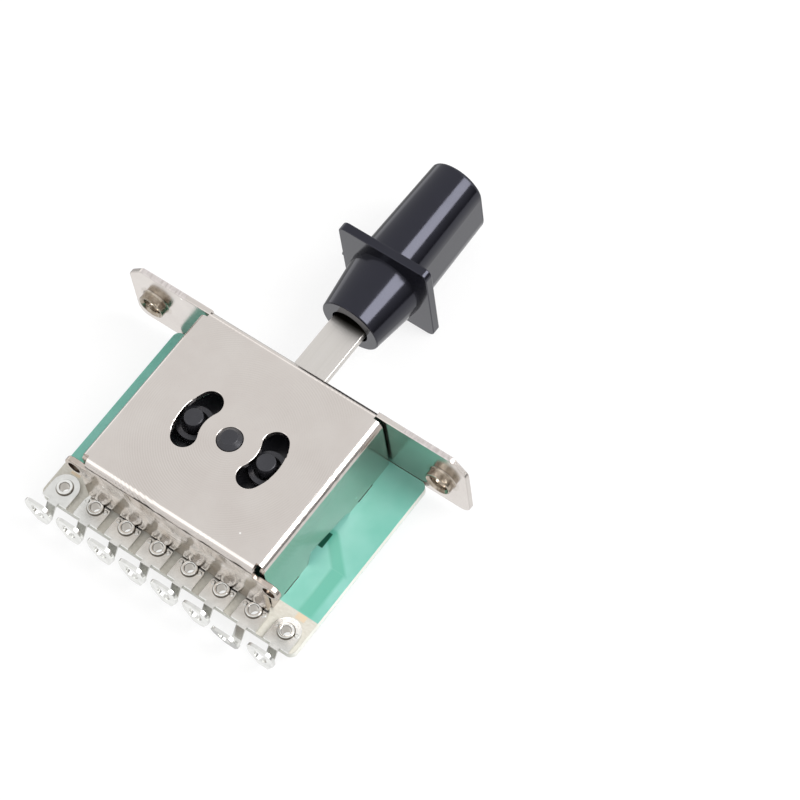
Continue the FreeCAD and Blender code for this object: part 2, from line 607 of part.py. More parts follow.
    # Slot for the lever blade
    slot = new_sketch(body, "lever_slot", "XY")
    polygon(slot, [
        ("-lever_slot_length / 2", "lever_setback - lever_slot_width / 2"),
        ("lever_slot_length / 2", "lever_setback - lever_slot_width / 2"),
        ("lever_slot_length / 2", "lever_setback + lever_slot_width / 2"),
        ("-lever_slot_length / 2", "lever_setback + lever_slot_width / 2"),
    ])
    pocket(body, "lever_slot_cut", slot, "sheet")
    half_slot = size("lever_slot_length") / 2
    round_edges(body, "lever_slot_ends", "(lever_slot_width - slot_flat) / 2",
                lambda p, run, e: abs(run.z) > 0.9
                and near(abs(p.x), half_slot)
                and near(abs(p.y - size("lever_setback")), size("lever_slot_width") / 2))
    return body


def lug_x(number):
    """The x of a lug, as an expression. Lugs count from 1 at the left."""
    return f"({number} - (lug_count + 1) / 2) * lug_pitch"



def circuit_board():
    """The board closes the box's back. Its own origin is the pivot on its front face."""
    body = new_body("circuit_board", y=BOARD_FACE, z="-pivot_drop")
    outline = new_sketch(body, "outline", "XZ")
    polygon(outline, [
        ("-board_width / 2", "pivot_drop - board_drop"),
        ("board_width / 2", "pivot_drop - board_drop"),
        ("board_width / 2", "pivot_drop - sheet - board_clearance"),
        ("-board_width / 2", "pivot_drop - sheet - board_clearance"),
    ])
    pad(body, "outline_pad", outline, "board_thickness", back=True)
    round_edges(body, "corners", "board_corner", lambda p, run, e: abs(run.y) > 0.9)

    holes = new_sketch(body, "holes", "XZ")
    circle(holes, "0", "0", "journal_bore / 2")
    for number in range(1, int(size("lug_count")) + 1):
        circle(holes, lug_x(number), "-eyelet_fall", "eyelet_barrel / 2 + board_clearance")
    for side in ("", "-"):
        inner = f"{side}(box_width / 2 - sheet - board_clearance)"
        outer = f"{side}(box_width / 2 + board_clearance)"
        for level in ("upper_tab_rise", "-lower_tab_fall"):
            low = f"{level} - tab_height / 2 - board_clearance"
            high = f"{level} + tab_height / 2 + board_clearance"
            polygon(holes, [(inner, low), (outer, low), (outer, high), (inner, high)])
    pocket(body, "holes_cut", holes, "board_thickness")

    # Plated contact pads: a common arc near the pivot and one pad for each lever position
    commons = new_sketch(body, "common_arcs", "XZ")
    circle(commons, "0", "0", "wiper_inner + common_width / 2")
    circle(commons, "0", "0", "wiper_inner - common_width / 2")
    pad(body, "common_arcs_pad", commons, "track_height")
    pads = new_sketch(body, "position_pads", "XZ")
    count = int(size("notch_count"))
    for step in range(count):
        angle = f"({step} - (notch_count - 1) / 2) * 2 * throw / (notch_count - 1)"
        for side in ("", "-"):
            circle(pads, f"{side}wiper_outer * cos({angle})", f"wiper_outer * sin({angle})", "track_pad / 2")
    pad(body, "position_pads_pad", pads, "track_height")
    return body


def solder_lug(number):
    """A stamped lug: round-topped base on the board, stepped neck, eye bent forward.
    Its own origin is on the board's front face, on the eyelet's axis."""
    body = new_body(f"terminal_{number}", x=lug_x(number), y=BOARD_FACE,
                    z="eyelet_rise - board_drop")
    droop = "bent_eye_droop" if number == 7 else "0"

    # The whole strip from the side, at the eye's width
    low = "-(eyelet_rise + neck_root)"
    knee = "-(eyelet_rise + neck_root + neck_fall)"
    strip = new_sketch(body, "strip", "YZ")
    polygon(strip, [
        ("-lug_sheet", "0"),
        ("0", "0"),
        ("0", f"{low} + neck_slant"),
        ("neck_back", knee),
        ("neck_back", "eye_floor"),
        ("-eye_reach", f"eye_floor - {droop}"),
        ("-eye_reach", f"eye_floor + lug_sheet - {droop}"),
        ("step_back", "eye_floor + lug_sheet"),
        ("step_back", f"{knee} + neck_slant"),
        ("-lug_sheet", low),
    ])
    pad(body, "strip_pad", strip, "eye_width", both=True)
    fold_y = size("step_back")
    fold_z = size("eye_floor")
    round_edges(body, "fold_outside", "lug_bend + lug_sheet", lambda p, run, e: abs(run.x) > 0.9
                and near(p.y, size("neck_back")) and near(p.z, fold_z))
    round_edges(body, "fold_inside", "lug_bend", lambda p, run, e: abs(run.x) > 0.9
                and near(p.y, fold_y) and near(p.z, fold_z + size("lug_sheet")))

    # Cut to the neck's width above the eye
    sides = new_sketch(body, "neck_sides", "XZ")
    for side in ("", "-"):
        polygon(sides, [
            (f"{side}neck_width / 2", "cut_margin"),
            (f"{side}(eye_width / 2 + cut_margin)", "cut_margin"),
            (f"{side}(eye_width / 2 + cut_margin)", "eye_floor + lug_sheet + neck_slant / 2"),
            (f"{side}neck_width / 2", "eye_floor + lug_sheet + neck_slant / 2"),
        ])
    pocket(body, "neck_cut", sides, "2 * (neck_back + eye_reach)", both=True)

    # The eye seen from above: full width at the front, drawn in to the neck at the fold
    waist = new_sketch(body, "eye_waist", "XY", "eye_floor + lug_sheet")
    for side in ("", "-"):
        polygon(waist, [
            (f"{side}eye_width / 2", "eye_shoulder - eye_reach"),
            (f"{side}neck_width / 2", "step_back"),
            (f"{side}neck_width / 2", "neck_back + cut_margin"),
            (f"{side}(eye_width / 2 + cut_margin)", "neck_back + cut_margin"),
            (f"{side}(eye_width / 2 + cut_margin)", "eye_shoulder - eye_reach"),
        ])
    through = "2 * (lug_sheet + bent_eye_droop + cut_margin)"
    pocket(body, "eye_waist_cut", waist, through, both=True)
    front_y = -size("eye_reach")
    round_edges(body, "eye_corners", "eye_round", lambda p, run, e: near(p.y, front_y)
                and abs(run.z) > 0.9 and near(abs(p.x), size("eye_width") / 2))
    round_edges(body, "eye_shoulders", "eye_round", lambda p, run, e: abs(run.x) < 0.1
                and near(p.y, front_y + size("eye_shoulder")) and near(abs(p.x), size("eye_width") / 2))
    for end, sign in (("front", "-"), ("back", "+")):
        hole = new_sketch(body, f"eye_hole_{end}", "XY", "eye_floor + lug_sheet")
        centre = f"eye_hole_setback - eye_reach {sign} (eye_hole_depth - eye_hole_width) / 2"
        circle(hole, "0", centre, "eye_hole_width / 2")
        pocket(body, f"eye_hole_{end}_cut", hole, through, both=True)

    # Base: square foot, round top, two locating dimples and the eyelet's hole
    foot = new_sketch(body, "base_foot", "XZ")
    polygon(foot, [
        ("-lug_width / 2", "-eyelet_rise"),
        ("lug_width / 2", "-eyelet_rise"),
        ("lug_width / 2", "0"),
        ("-lug_width / 2", "0"),
    ])
    pad(body, "base_foot_pad", foot, "lug_sheet")
    crown = new_sketch(body, "base_crown", "XZ")
    circle(crown, "0", "0", "lug_width / 2")
    pad(body, "base_crown_pad", crown, "lug_sheet")
    if 1 < number:
        dimples = new_sketch(body, "dimples", "XZ", "lug_sheet")
        for side in ("", "-"):
            circle(dimples, f"{side}dimple_offset", "dimple_rise", "dimple_diameter / 2")
        pad(body, "dimples_pad", dimples, "dimple_height")
        round_edges(body, "dimple_crowns", "dimple_cut", lambda p, run, e:
                    near(p.y, -size("lug_sheet") - size("dimple_height")), kind="Chamfer")
    bore = new_sketch(body, "eyelet_hole", "XZ")
    circle(bore, "0", "0", "eyelet_barrel / 2 + board_clearance")
    pocket(body, "eyelet_hole_cut", bore, "2 * (lug_sheet + cut_margin)", both=True)
    return body


def eyelet(number):
    """A hollow rivet through lug and board, rolled over at both ends.
    Its own origin is on the board's front face, on its own axis."""
    body = new_body(f"eyelet_{number}", x=lug_x(number), y=BOARD_FACE, z="eyelet_rise - board_drop")
    section = new_sketch(body, "section", "YZ")
    front = "-lug_sheet"
    back = "board_thickness"
    polygon(section, [
        (f"{front} - eyelet_roll", "eyelet_bore / 2"),
        (f"{front} - eyelet_roll", "eyelet_rim / 2"),
        (front, "eyelet_rim / 2"),
        (front, "eyelet_barrel / 2"),
        (back, "eyelet_barrel / 2"),
        (back, "eyelet_rim / 2"),
        (f"{back} + eyelet_roll", "eyelet_rim / 2"),
        (f"{back} + eyelet_roll", "eyelet_bore / 2"),
    ])
    turned = body.newObject("PartDesign::Revolution", "turned")
    turned.Profile = section
    turned.ReferenceAxis = (section, ["H_Axis"])
    turned.Angle = 360
    doc.recompute()
    faces = (-size("lug_sheet") - size("eyelet_roll"), size("board_thickness") + size("eyelet_roll"))
    round_edges(body, "rolled_rims", "eyelet_round",
                lambda p, run, e: any(near(p.y, face) for face in faces))
    return body


def rotor():
    """The black moulding that rocks about the pivot. Its own origin is the pivot on the front face."""
    body = new_body("rotor", y=FRONT, z="-pivot_drop")

    web = new_sketch(body, "web", "XZ", "-web_front")
    circle(web, "0", "0", "web_radius")
    pad(body, "web_pad", web, "web_thickness", back=True)
    hub = new_sketch(body, "hub", "XZ", "-(sheet + end_gap)")
    circle(hub, "0", "0", "hub_radius")
    pad(body, "hub_pad", hub, "box_depth - sheet - track_height - 2 * end_gap", back=True)

    # Bearing post through the front plate, journal through the board
    post = new_sketch(body, "post", "XZ", "post_stand")
    circle(post, "0", "0", "bearing_bore / 2 - running_gap")
    pad(body, "post_pad", post, "post_stand + web_front", back=True)
    post_end = -size("post_stand")
    round_edges(body, "post_rim", "post_chamfer", lambda p, run, e: near(p.y, post_end), kind="Chamfer")
    round_edges(body, "post_end", "post_crown", lambda p, run, e: near(p.y, post_end))
    journal = new_sketch(body, "journal", "XZ", "-web_front")
    circle(journal, "0", "0", "journal_bore / 2 - running_gap")
    pad(body, "journal_pad", journal, "box_depth + board_thickness + journal_stand - web_front", back=True)
    journal_end = size("box_depth") + size("board_thickness") + size("journal_stand")
    round_edges(body, "journal_rim", "journal_cut", lambda p, run, e: near(p.y, journal_end),
                kind="Chamfer")

    # Blade socket, detent arm and the two wiper bosses
    socket = new_sketch(body, "socket", "XZ", "socket_depth / 2 - lever_setback")
    polygon(socket, [
        ("-socket_width / 2", "0"),
        ("socket_width / 2", "0"),
        ("socket_width / 2", "socket_top"),
        ("-socket_width / 2", "socket_top"),
    ])
    pad(body, "socket_pad", socket, "socket_depth", back=True)
    arm = new_sketch(body, "arm", "XZ", "arm_width / 2 - lever_setback")
    polygon(arm, [
        ("-arm_width / 2", "-arm_end"),
        ("arm_width / 2", "-arm_end"),
        ("arm_width / 2", "0"),
        ("-arm_width / 2", "0"),
    ])
    pad(body, "arm_pad", arm, "arm_width", back=True)
    bosses = new_sketch(body, "bosses", "XZ", "-web_front")
    stakes = new_sketch(body, "stakes", "XZ", "-web_front")
    for side in ("", "-"):
        polygon(bosses, [
            (f"{side}boss_inner", "-wiper_width / 2"),
            (f"{side}boss_outer", "-wiper_width / 2"),
            (f"{side}boss_outer", "wiper_width / 2"),
            (f"{side}boss_inner", "wiper_width / 2"),
        ])
        circle(stakes, f"{side}(boss_inner + boss_outer) / 2", "0", "stake_radius")
    pad(body, "bosses_pad", bosses, "boss_back - web_front", back=True)
    pad(body, "stakes_pad", stakes, "boss_back + 2 * wiper_sheet - web_front", back=True)

    # Slot pins, flush with the front face, each inside its ring boss
    rings = new_sketch(body, "rings", "XZ", "-ring_setback")
    pins = new_sketch(body, "pins", "XZ")
    for side in ("", "-"):
        circle(rings, f"{side}pin_offset", "0", "ring_outer")
        circle(rings, f"{side}pin_offset", "0", "ring_inner")
        circle(pins, f"{side}pin_offset", "0", "pin_radius")
    pad(body, "rings_pad", rings, "web_front - ring_setback", back=True)
    pad(body, "pins_pad", pins, "web_front", back=True)
    round_edges(body, "pin_rims", "pin_round", lambda p, run, e: near(p.y, 0)
                and ring_of(e, size("pin_radius")))

    # Seat for the blade, bore for the detent spring and ball
    seat = new_sketch(body, "blade_seat", "XY", "socket_top")
    polygon(seat, [
        ("-blade_width / 2 - fit_gap", "lever_setback - blade_thickness / 2 - fit_gap"),
        ("blade_width / 2 + fit_gap", "lever_setback - blade_thickness / 2 - fit_gap"),
        ("blade_width / 2 + fit_gap", "lever_setback + blade_thickness / 2 + fit_gap"),
        ("-blade_width / 2 - fit_gap", "lever_setback + blade_thickness / 2 + fit_gap"),
    ])
    pocket(body, "blade_seat_cut", seat, "socket_top - blade_foot")
    bore = new_sketch(body, "ball_bore", "XY", "-arm_end")
    circle(bore, "0", "lever_setback", "ball_diameter / 2 + bore_gap")
    pocket(body, "ball_bore_cut", bore, "arm_end - bore_top", back=True)
    return body


def lever_blade():
    """The flat steel lever. Its own origin is the pivot on the front face."""
    body = new_body("lever_blade", y=FRONT, z="-pivot_drop")
    outline = new_sketch(body, "outline", "XZ", "-lever_setback")
    polygon(outline, [
        ("-blade_width / 2", "blade_foot"),
        ("blade_width / 2", "blade_foot"),
        ("blade_width / 2", "blade_top"),
        ("-blade_width / 2", "blade_top"),
    ])
    pad(body, "outline_pad", outline, "blade_thickness", both=True)
    round_edges(body, "tip_corners", "blade_lead", lambda p, run, e: abs(run.y) > 0.9
                and near(p.z, size("blade_top")), kind="Chamfer")
    long_edge = (size("blade_top") - size("blade_foot")) / 2
    round_edges(body, "long_edges", "blade_round", lambda p, run, e: abs(run.z) > 0.9
                and e.Length > long_edge)
    return body


def knob():
    """Round cone below, square collar, long finger tip above. Its own origin is the pivot
    on the front face."""
    body = new_body("knob", y=FRONT, z="-pivot_drop")
    cone = body.newObject("PartDesign::AdditiveCone", "cone")
    cone.AttachmentSupport = [(plane(body, "XY_Plane"), "")]
    cone.MapMode = "FlatFace"
    cone.setExpression("AttachmentOffset.Base.y", cells("knob_setback"))
    cone.setExpression("AttachmentOffset.Base.z", cells("knob_foot"))
    cone.setExpression("Radius1", cells("cone_foot_radius"))
    cone.setExpression("Radius2", cells("cone_top_radius"))
    cone.setExpression("Height", cells("cone_height"))
    doc.recompute()

    collar = new_sketch(body, "collar", "XY", "collar_bottom")
    polygon(collar, [
        ("-collar_width / 2", "knob_setback - collar_depth / 2"),
        ("collar_width / 2", "knob_setback - collar_depth / 2"),
        ("collar_width / 2", "knob_setback + collar_depth / 2"),
        ("-collar_width / 2", "knob_setback + collar_depth / 2"),
    ])
    pad(body, "collar_pad", collar, "collar_thickness")
    round_edges(body, "collar_corners", "collar_round", lambda p, run, e: abs(run.z) > 0.9
                and near(abs(p.x), size("collar_width") / 2))

    foot = new_sketch(body, "tip_foot", "XY", "tip_foot")
    stadium(foot, "knob_setback", "tip_foot_radius", "tip_straight")
    top = new_sketch(body, "tip_head", "XY", "tip_top")
    stadium(top, "knob_setback", "tip_top_radius", "tip_straight")
    tip = body.newObject("PartDesign::AdditiveLoft", "tip")
    tip.Profile = foot
    tip.Sections = [top]
    tip.Ruled = True
    doc.recompute()

    mouth = new_sketch(body, "mouth", "XY", "knob_foot")
    circle(mouth, "0", "knob_setback", "mouth_radius")
    pocket(body, "mouth_cut", mouth, "mouth_depth", back=True)
    seat = new_sketch(body, "blade_seat", "XY", "knob_foot")
    polygon(seat, [
        ("-blade_width / 2 - fit_gap", "lever_setback - blade_thickness / 2 - fit_gap"),
        ("blade_width / 2 + fit_gap", "lever_setback - blade_thickness / 2 - fit_gap"),
        ("blade_width / 2 + fit_gap", "lever_setback + blade_thickness / 2 + fit_gap"),
        ("-blade_width / 2 - fit_gap", "lever_setback + blade_thickness / 2 + fit_gap"),
    ])
    pocket(body, "blade_seat_cut", seat, "blade_top + fit_gap - knob_foot", back=True)

    round_edges(body, "tip_rim", "tip_edge", lambda p, run, e: near(p.z, size("tip_top")))
    lower_rim = size("cone_foot_radius")
    round_edges(body, "foot_rim", "tip_edge / 2", lambda p, run, e: near(p.z, size("knob_foot"))
                and e.Curve.TypeId == "Part::GeomCircle" and near(e.Curve.Radius, lower_rim))
    levels = (size("collar_bottom"), size("tip_foot"))

    def collar_rim(p, run, e):
        beyond = abs(p.x) > size("collar_width") / 2 - size("collar_round")
        ahead = abs(p.y - size("knob_setback")) > size("collar_depth") / 2 - size("collar_round")
        return (beyond or ahead) and any(near(p.z, level) for level in levels)

    round_edges(body, "collar_rims", "tip_edge / 3", collar_rim)
    return body


def wiper(label, side):
    """A sprung contact bridge on the rotor's boss, with two slit fingers at each end."""
    body = new_body(label, y=FRONT, z="-pivot_drop")
    seat = "boss_back"
    touch = "wiper_touch"
    profile = new_sketch(body, "profile", "XY")
    line = [
        ("wiper_inner - wiper_tip", f"{touch} - wiper_tip / 2"),
        ("wiper_inner", touch),
        ("boss_inner", f"{seat} + wiper_sheet"),
        ("boss_outer", f"{seat} + wiper_sheet"),
        ("wiper_outer", touch),
        ("wiper_outer + wiper_tip", f"{touch} - wiper_tip / 2"),
        ("wiper_outer + wiper_tip", f"{touch} - wiper_tip / 2 - wiper_sheet"),
        ("wiper_outer", f"{touch} - wiper_knee"),
        ("boss_outer", seat),
        ("boss_inner", seat),
        ("wiper_inner", f"{touch} - wiper_knee"),
        ("wiper_inner - wiper_tip", f"{touch} - wiper_tip / 2 - wiper_sheet"),
    ]
    polygon(profile, [(f"{side}({x})", y) for x, y in line])
    pad(body, "profile_pad", profile, "wiper_width", both=True)
    cuts = new_sketch(body, "cuts", "XZ", "-(box_depth + cut_margin)")
    circle(cuts, f"{side}(boss_inner + boss_outer) / 2", "0", "stake_radius + fit_gap")
    slits = (("wiper_inner - wiper_tip - cut_margin", "boss_inner"),
             ("boss_outer", "wiper_outer + wiper_tip + cut_margin"))
    for x_low, x_high in slits:
        polygon(cuts, [
            (f"{side}({x_low})", "-wiper_slit / 2"),
            (f"{side}({x_high})", "-wiper_slit / 2"),
            (f"{side}({x_high})", "wiper_slit / 2"),
            (f"{side}({x_low})", "wiper_slit / 2"),
        ])
    pocket(body, "cuts_cut", cuts, "boss_gap + 2 * cut_margin", back=True)
    return body


def detent_ball():
    ball = doc.addObject("Part::Sphere", "detent_ball")
    ball.Label = "detent_ball"
    ball.setExpression("Radius", cells("ball_diameter / 2"))
    ball.setExpression("Placement.Base.y", cells(f"lever_setback + {FRONT}"))
    ball.setExpression("Placement.Base.z", cells("-pivot_drop - ball_reach"))
    PIECES.append(ball)
    doc.recompute()
    return ball


def detent_spring():
    """A coil spring in the arm's bore, between the bore's end and the ball."""
    body = new_body("detent_spring", y=f"lever_setback + {FRONT}", z="-pivot_drop - ball_reach")
    wire = new_sketch(body, "wire", "XZ")
    coil = "(ball_diameter / 2 - wire_diameter)"
    clear = "(ball_diameter / 2 + wire_diameter / 2 + fit_gap)"
    start = f"sqrt({clear} * {clear} - {coil} * {coil})"
    circle(wire, coil, start, "wire_diameter / 2")
    turns = body.newObject("PartDesign::AdditiveHelix", "coil")
    turns.Profile = wire
    turns.ReferenceAxis = (wire, ["V_Axis"])
    turns.Mode = "height-turns-angle"
    turns.setExpression("Height", cells(f"ball_reach - bore_top - {start} - wire_diameter / 2 - fit_gap"))
    turns.setExpression("Turns", cells("coil_count"))
    doc.recompute()
    return body


def detent_saddle():
    """The notched block on the bottom wall, one notch for each lever position."""
    body = new_body("detent_saddle", y=FRONT, z="-pivot_drop")
    floor = "-(crest_radius + saddle_web)"
    block = new_sketch(body, "block", "XZ", "-(sheet + saddle_gap)")
    polygon(block, [
        ("-saddle_width / 2", floor),
        ("saddle_width / 2", floor),
        ("saddle_width / 2", "-saddle_fall"),
        ("-saddle_width / 2", "-saddle_fall"),
    ])
    pad(body, "block_pad", block, "lug_front - sheet - saddle_gap", back=True)
    floor_z = -(size("crest_radius") + size("saddle_web"))
    front_y = size("sheet") + size("saddle_gap")
    round_edges(body, "bend_relief", "bend_inside", lambda p, run, e: abs(run.x) > 0.9
                and near(p.z, floor_z) and near(p.y, front_y), kind="Chamfer")
    crests = new_sketch(body, "crests", "XZ")
    circle(crests, "0", "0", "crest_radius")
    pocket(body, "crests_cut", crests, "box_depth")
    notches = new_sketch(body, "notches", "XZ")
    for step in range(int(size("notch_count"))):
        angle = f"({step} - (notch_count - 1) / 2) * 2 * throw / (notch_count - 1)"
        reach = "(crest_radius + notch_depth - notch_radius)"
        circle(notches, f"{reach} * sin({angle})", f"-{reach} * cos({angle})", "notch_radius")
    pocket(body, "notches_cut", notches, "box_depth")
    return body


housing()
circuit_board()
for place in range(1, int(size("lug_count")) + 1):
    solder_lug(place)
for place in range(1, int(size("lug_count")) + 1):
    eyelet(place)
rotor()
lever_blade()
knob()
wiper("wiper_right", "")
wiper("wiper_left", "-")
detent_ball()
detent_spring()
detent_saddle()

doc.recompute()
for item in doc.Objects:
    if any(word in ("Invalid", "Error") for word in item.State):
        raise RuntimeError(f"{item.Label} failed: {item.State}")
for piece in PIECES:
    if piece.Shape.isNull() or not piece.Shape.isValid():
        raise RuntimeError(f"{piece.Label} has no valid shape")
for piece in PIECES:
    piece.Shape.exportStep(f"parts/{piece.Label}.step")
    box = piece.Shape.BoundBox
    spans = ((box.XMin, box.XMax), (box.YMin, box.YMax), (box.ZMin, box.ZMax))
    print(f"{piece.Label}: {len(piece.Shape.Solids)} solid, {piece.Shape.Volume:.2f} mm3, "
          + ", ".join(f"{name} {low:.2f} {high:.2f}" for name, (low, high) in zip("xyz", spans)))
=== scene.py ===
"""A lever selector switch for a guitar, dressed for its portrait.

The solids come from the fixed frame, in metres: X runs along the mounting plate, Y from the front
plate to the circuit board, Z up along the lever. Finishes are painted on the solids by place, and
the small pieces that the solids leave out are modelled here.
"""
import math

import bpy
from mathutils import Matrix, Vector


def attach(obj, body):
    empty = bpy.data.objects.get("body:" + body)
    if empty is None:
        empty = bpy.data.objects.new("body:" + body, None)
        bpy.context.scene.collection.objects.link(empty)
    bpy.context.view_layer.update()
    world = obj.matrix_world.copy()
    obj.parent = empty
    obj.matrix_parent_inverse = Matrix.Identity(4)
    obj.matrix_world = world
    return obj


MM = 0.001

# Places on the switch, in millimetres
FRONT_FACE = -5.45
BOARD_FRONT = 4.45
BOARD_BACK = 5.45
PIVOT_Z = -12.2
SCREW_X = 20.65
BUSH_MOUTH = -1.5
BUSH_RADIUS = 2.25
BUSH_ROOT = -0.72
TAP_RADIUS = 1.25
PLATE_FRONT = -5.3
BOTTOM_WALL_TOP = -23.0
EAR_X = 13.9
EAR_Y = -2.1
EAR_HOLE = 0.86
LUG_PITCH = 4.58
EYELET_Z = -24.5
SOCKET_MOUTH = 9.35
TIP_END = 30.6
COLLAR_EDGE = -6.35
COLLAR_MIDDLE = 17.05
KNOB_Y = 0.6
MASK_FOOT = -21.68
BEHIND_BEND = -4.7
FLANK_START = -4.6
FLANK_SPAN = (13.0, 18.2)
FLANK_RISE = (-23.0, -1.2)
PLATE_END_START = 15.4
EDGE_FOOT = -0.74

# What shows on the board, on both sides of its middle
TRACE_SPAN = (15.4, 17.2)
TRACE_RISE = (-21.6, -15.2)
SLANT_SUM = (0.1, 2.1)
SLANT_RISE = (-15.4, -11.3)
MARK_SPAN = (12.3, 13.0)
MARK_RISE = (-13.9, -11.84)
PATCH_SPAN = (15.6, 16.9)
PATCH_RISE = (-22.5, -21.7)
INSIDE_BOARD = 3.0
BEHIND_BOARD = 7.0
MASK_SKIN = 0.06

# Beyond everything on the switch
FAR = 40.0

# Small pieces
THREAD_PITCH = 0.5
THREAD_TURNS = 2
THREAD_RIDGE = 0.13
THREAD_SECTION = 0.16
NIB_RADIUS = 0.36
NIB_LENGTH = 0.6
NIB_ROUND = 0.09

# The part of a noise's range that carries its pattern
NOISE_LOW = 0.3
NOISE_HIGH = 0.7

# The viewpoint, found from the photograph's own edges
CAMERA_PLACE = (0.1398925, -0.3308139, -0.1252802)
CAMERA_TURN = (115.19393753, -36.21039647, 5.78708101)
CAMERA_LENS = 149.592
SENSOR = 36.0


def srgb(red, green, blue):
    """A colour as the eye reads it, 0 to 255, turned into the light it stands for."""
    channels = []
    for value in (red, green, blue):
        share = value / 255
        channels.append(share / 12.92 if share <= 0.04045 else ((share + 0.055) / 1.055) ** 2.4)
    return (*channels, 1.0)


def add_node(tree, kind, settings=None, **values):
    """Adds a node, sets its own settings, then its inputs by name with underscores for spaces."""
    made = tree.nodes.new(kind)
    for name, value in (settings or {}).items():
        setattr(made, name, value)
    for name, value in values.items():
        made.inputs[name.replace("_", " ")].default_value = value
    return made


def join(tree, source, target):
    """Links an output socket to an input socket."""
    tree.links.new(source, target)


def calculate(tree, operation, first, second=None, clamp=False):
    """One step of arithmetic on sockets or numbers; gives the result's socket."""
    step = add_node(tree, "ShaderNodeMath", {"operation": operation, "use_clamp": clamp})
    for socket, value in zip(step.inputs, (first, second)):
        if value is None:
            continue
        if isinstance(value, (int, float)):
            socket.default_value = value
        else:
            join(tree, value, socket)
    return step.outputs[0]


def blend_colours(tree, share, first, second):
    """Mixes two colours, each a socket or a colour, by a share; gives the colour's socket."""
    mixer = add_node(tree, "ShaderNodeMix", {"data_type": "RGBA"})
    for socket, value in ((mixer.inputs[0], share), (mixer.inputs[6], first), (mixer.inputs[7], second)):
        if isinstance(value, (int, float, tuple)):
            socket.default_value = value
        else:
            join(tree, value, socket)
    return mixer.outputs[2]


def split(tree, place):
    """The three coordinates of a place."""
    axes = add_node(tree, "ShaderNodeSeparateXYZ")
    join(tree, place, axes.inputs[0])
    return axes.outputs


def distance(tree, first, second):
    """How far two offsets at right angles lead together."""
    squares = [calculate(tree, "POWER", offset, 2.0) for offset in (first, second)]
    return calculate(tree, "SQRT", calculate(tree, "ADD", *squares))


def new_group(name, inputs, outputs):
    """An empty effect group with named inputs and outputs; gives the group and its two end nodes."""
    group = bpy.data.node_groups.new(name, "ShaderNodeTree")
    for label, kind, value in inputs:
        socket = group.interface.new_socket(name=label, in_out="INPUT", socket_type=kind)
        if value is not None:
            socket.default_value = value
    for label, kind in outputs:
        group.interface.new_socket(name=label, in_out="OUTPUT", socket_type=kind)
    return group, group.nodes.new("NodeGroupInput"), group.nodes.new("NodeGroupOutput")


def build_grain_group():
    """Fine grain: a soft unevenness of tone and height, as plated or moulded surfaces have."""
    group, ends_in, ends_out = new_group(
        "surface_grain",
        [("Place", "NodeSocketVector", None), ("Scale", "NodeSocketFloat", 900.0),
         ("Fine Scale", "NodeSocketFloat", 6000.0), ("Fine Share", "NodeSocketFloat", 0.3)],
        [("Tone", "NodeSocketFloat"), ("Height", "NodeSocketFloat")])
    broad = add_node(group, "ShaderNodeTexNoise", Detail=3.0, Roughness=0.55)
    fine = add_node(group, "ShaderNodeTexNoise", Detail=2.0, Roughness=0.6)
    for noise, scale in ((broad, "Scale"), (fine, "Fine Scale")):
        join(group, ends_in.outputs["Place"], noise.inputs["Vector"])
        join(group, ends_in.outputs[scale], noise.inputs["Scale"])
    fine_part = calculate(group, "MULTIPLY", fine.outputs["Fac"], ends_in.outputs["Fine Share"])
    height = calculate(group, "ADD", broad.outputs["Fac"], fine_part)
    join(group, broad.outputs["Fac"], ends_out.inputs["Tone"])
    join(group, height, ends_out.inputs["Height"])
    return group


def build_speck_group():
    """Sparse specks: pinholes in plating, dust on a moulding, fibres in a board."""
    group, ends_in, ends_out = new_group(
        "surface_specks",
        [("Place", "NodeSocketVector", None), ("Scale", "NodeSocketFloat", 900.0),
         ("Size", "NodeSocketFloat", 0.12), ("Share", "NodeSocketFloat", 0.15)],
        [("Mask", "NodeSocketFloat")])
    cells = add_node(group, "ShaderNodeTexVoronoi", Randomness=1.0)
    join(group, ends_in.outputs["Place"], cells.inputs["Vector"])
    join(group, ends_in.outputs["Scale"], cells.inputs["Scale"])
    dot = calculate(group, "LESS_THAN", cells.outputs["Distance"], ends_in.outputs["Size"])
    parts = add_node(group, "ShaderNodeSeparateColor")
    join(group, cells.outputs["Color"], parts.inputs[0])
    chosen = calculate(group, "LESS_THAN", parts.outputs[0], ends_in.outputs["Share"])
    join(group, calculate(group, "MULTIPLY", dot, chosen), ends_out.inputs["Mask"])
    return group


def build_line_group():
    """Long fine lines along one way, as rolling or drawing leaves on sheet metal."""
    group, ends_in, ends_out = new_group(
        "drawn_lines",
        [("Place", "NodeSocketVector", None), ("Along", "NodeSocketVector", None),
         ("Detail", "NodeSocketFloat", 4.0)],
        [("Tone", "NodeSocketFloat")])
    stretched = add_node(group, "ShaderNodeVectorMath", {"operation": "MULTIPLY"})
    join(group, ends_in.outputs["Place"], stretched.inputs[0])
    join(group, ends_in.outputs["Along"], stretched.inputs[1])
    noise = add_node(group, "ShaderNodeTexNoise", Scale=1.0, Roughness=0.65)
    join(group, stretched.outputs[0], noise.inputs["Vector"])
    join(group, ends_in.outputs["Detail"], noise.inputs["Detail"])
    join(group, noise.outputs["Fac"], ends_out.inputs["Tone"])
    return group


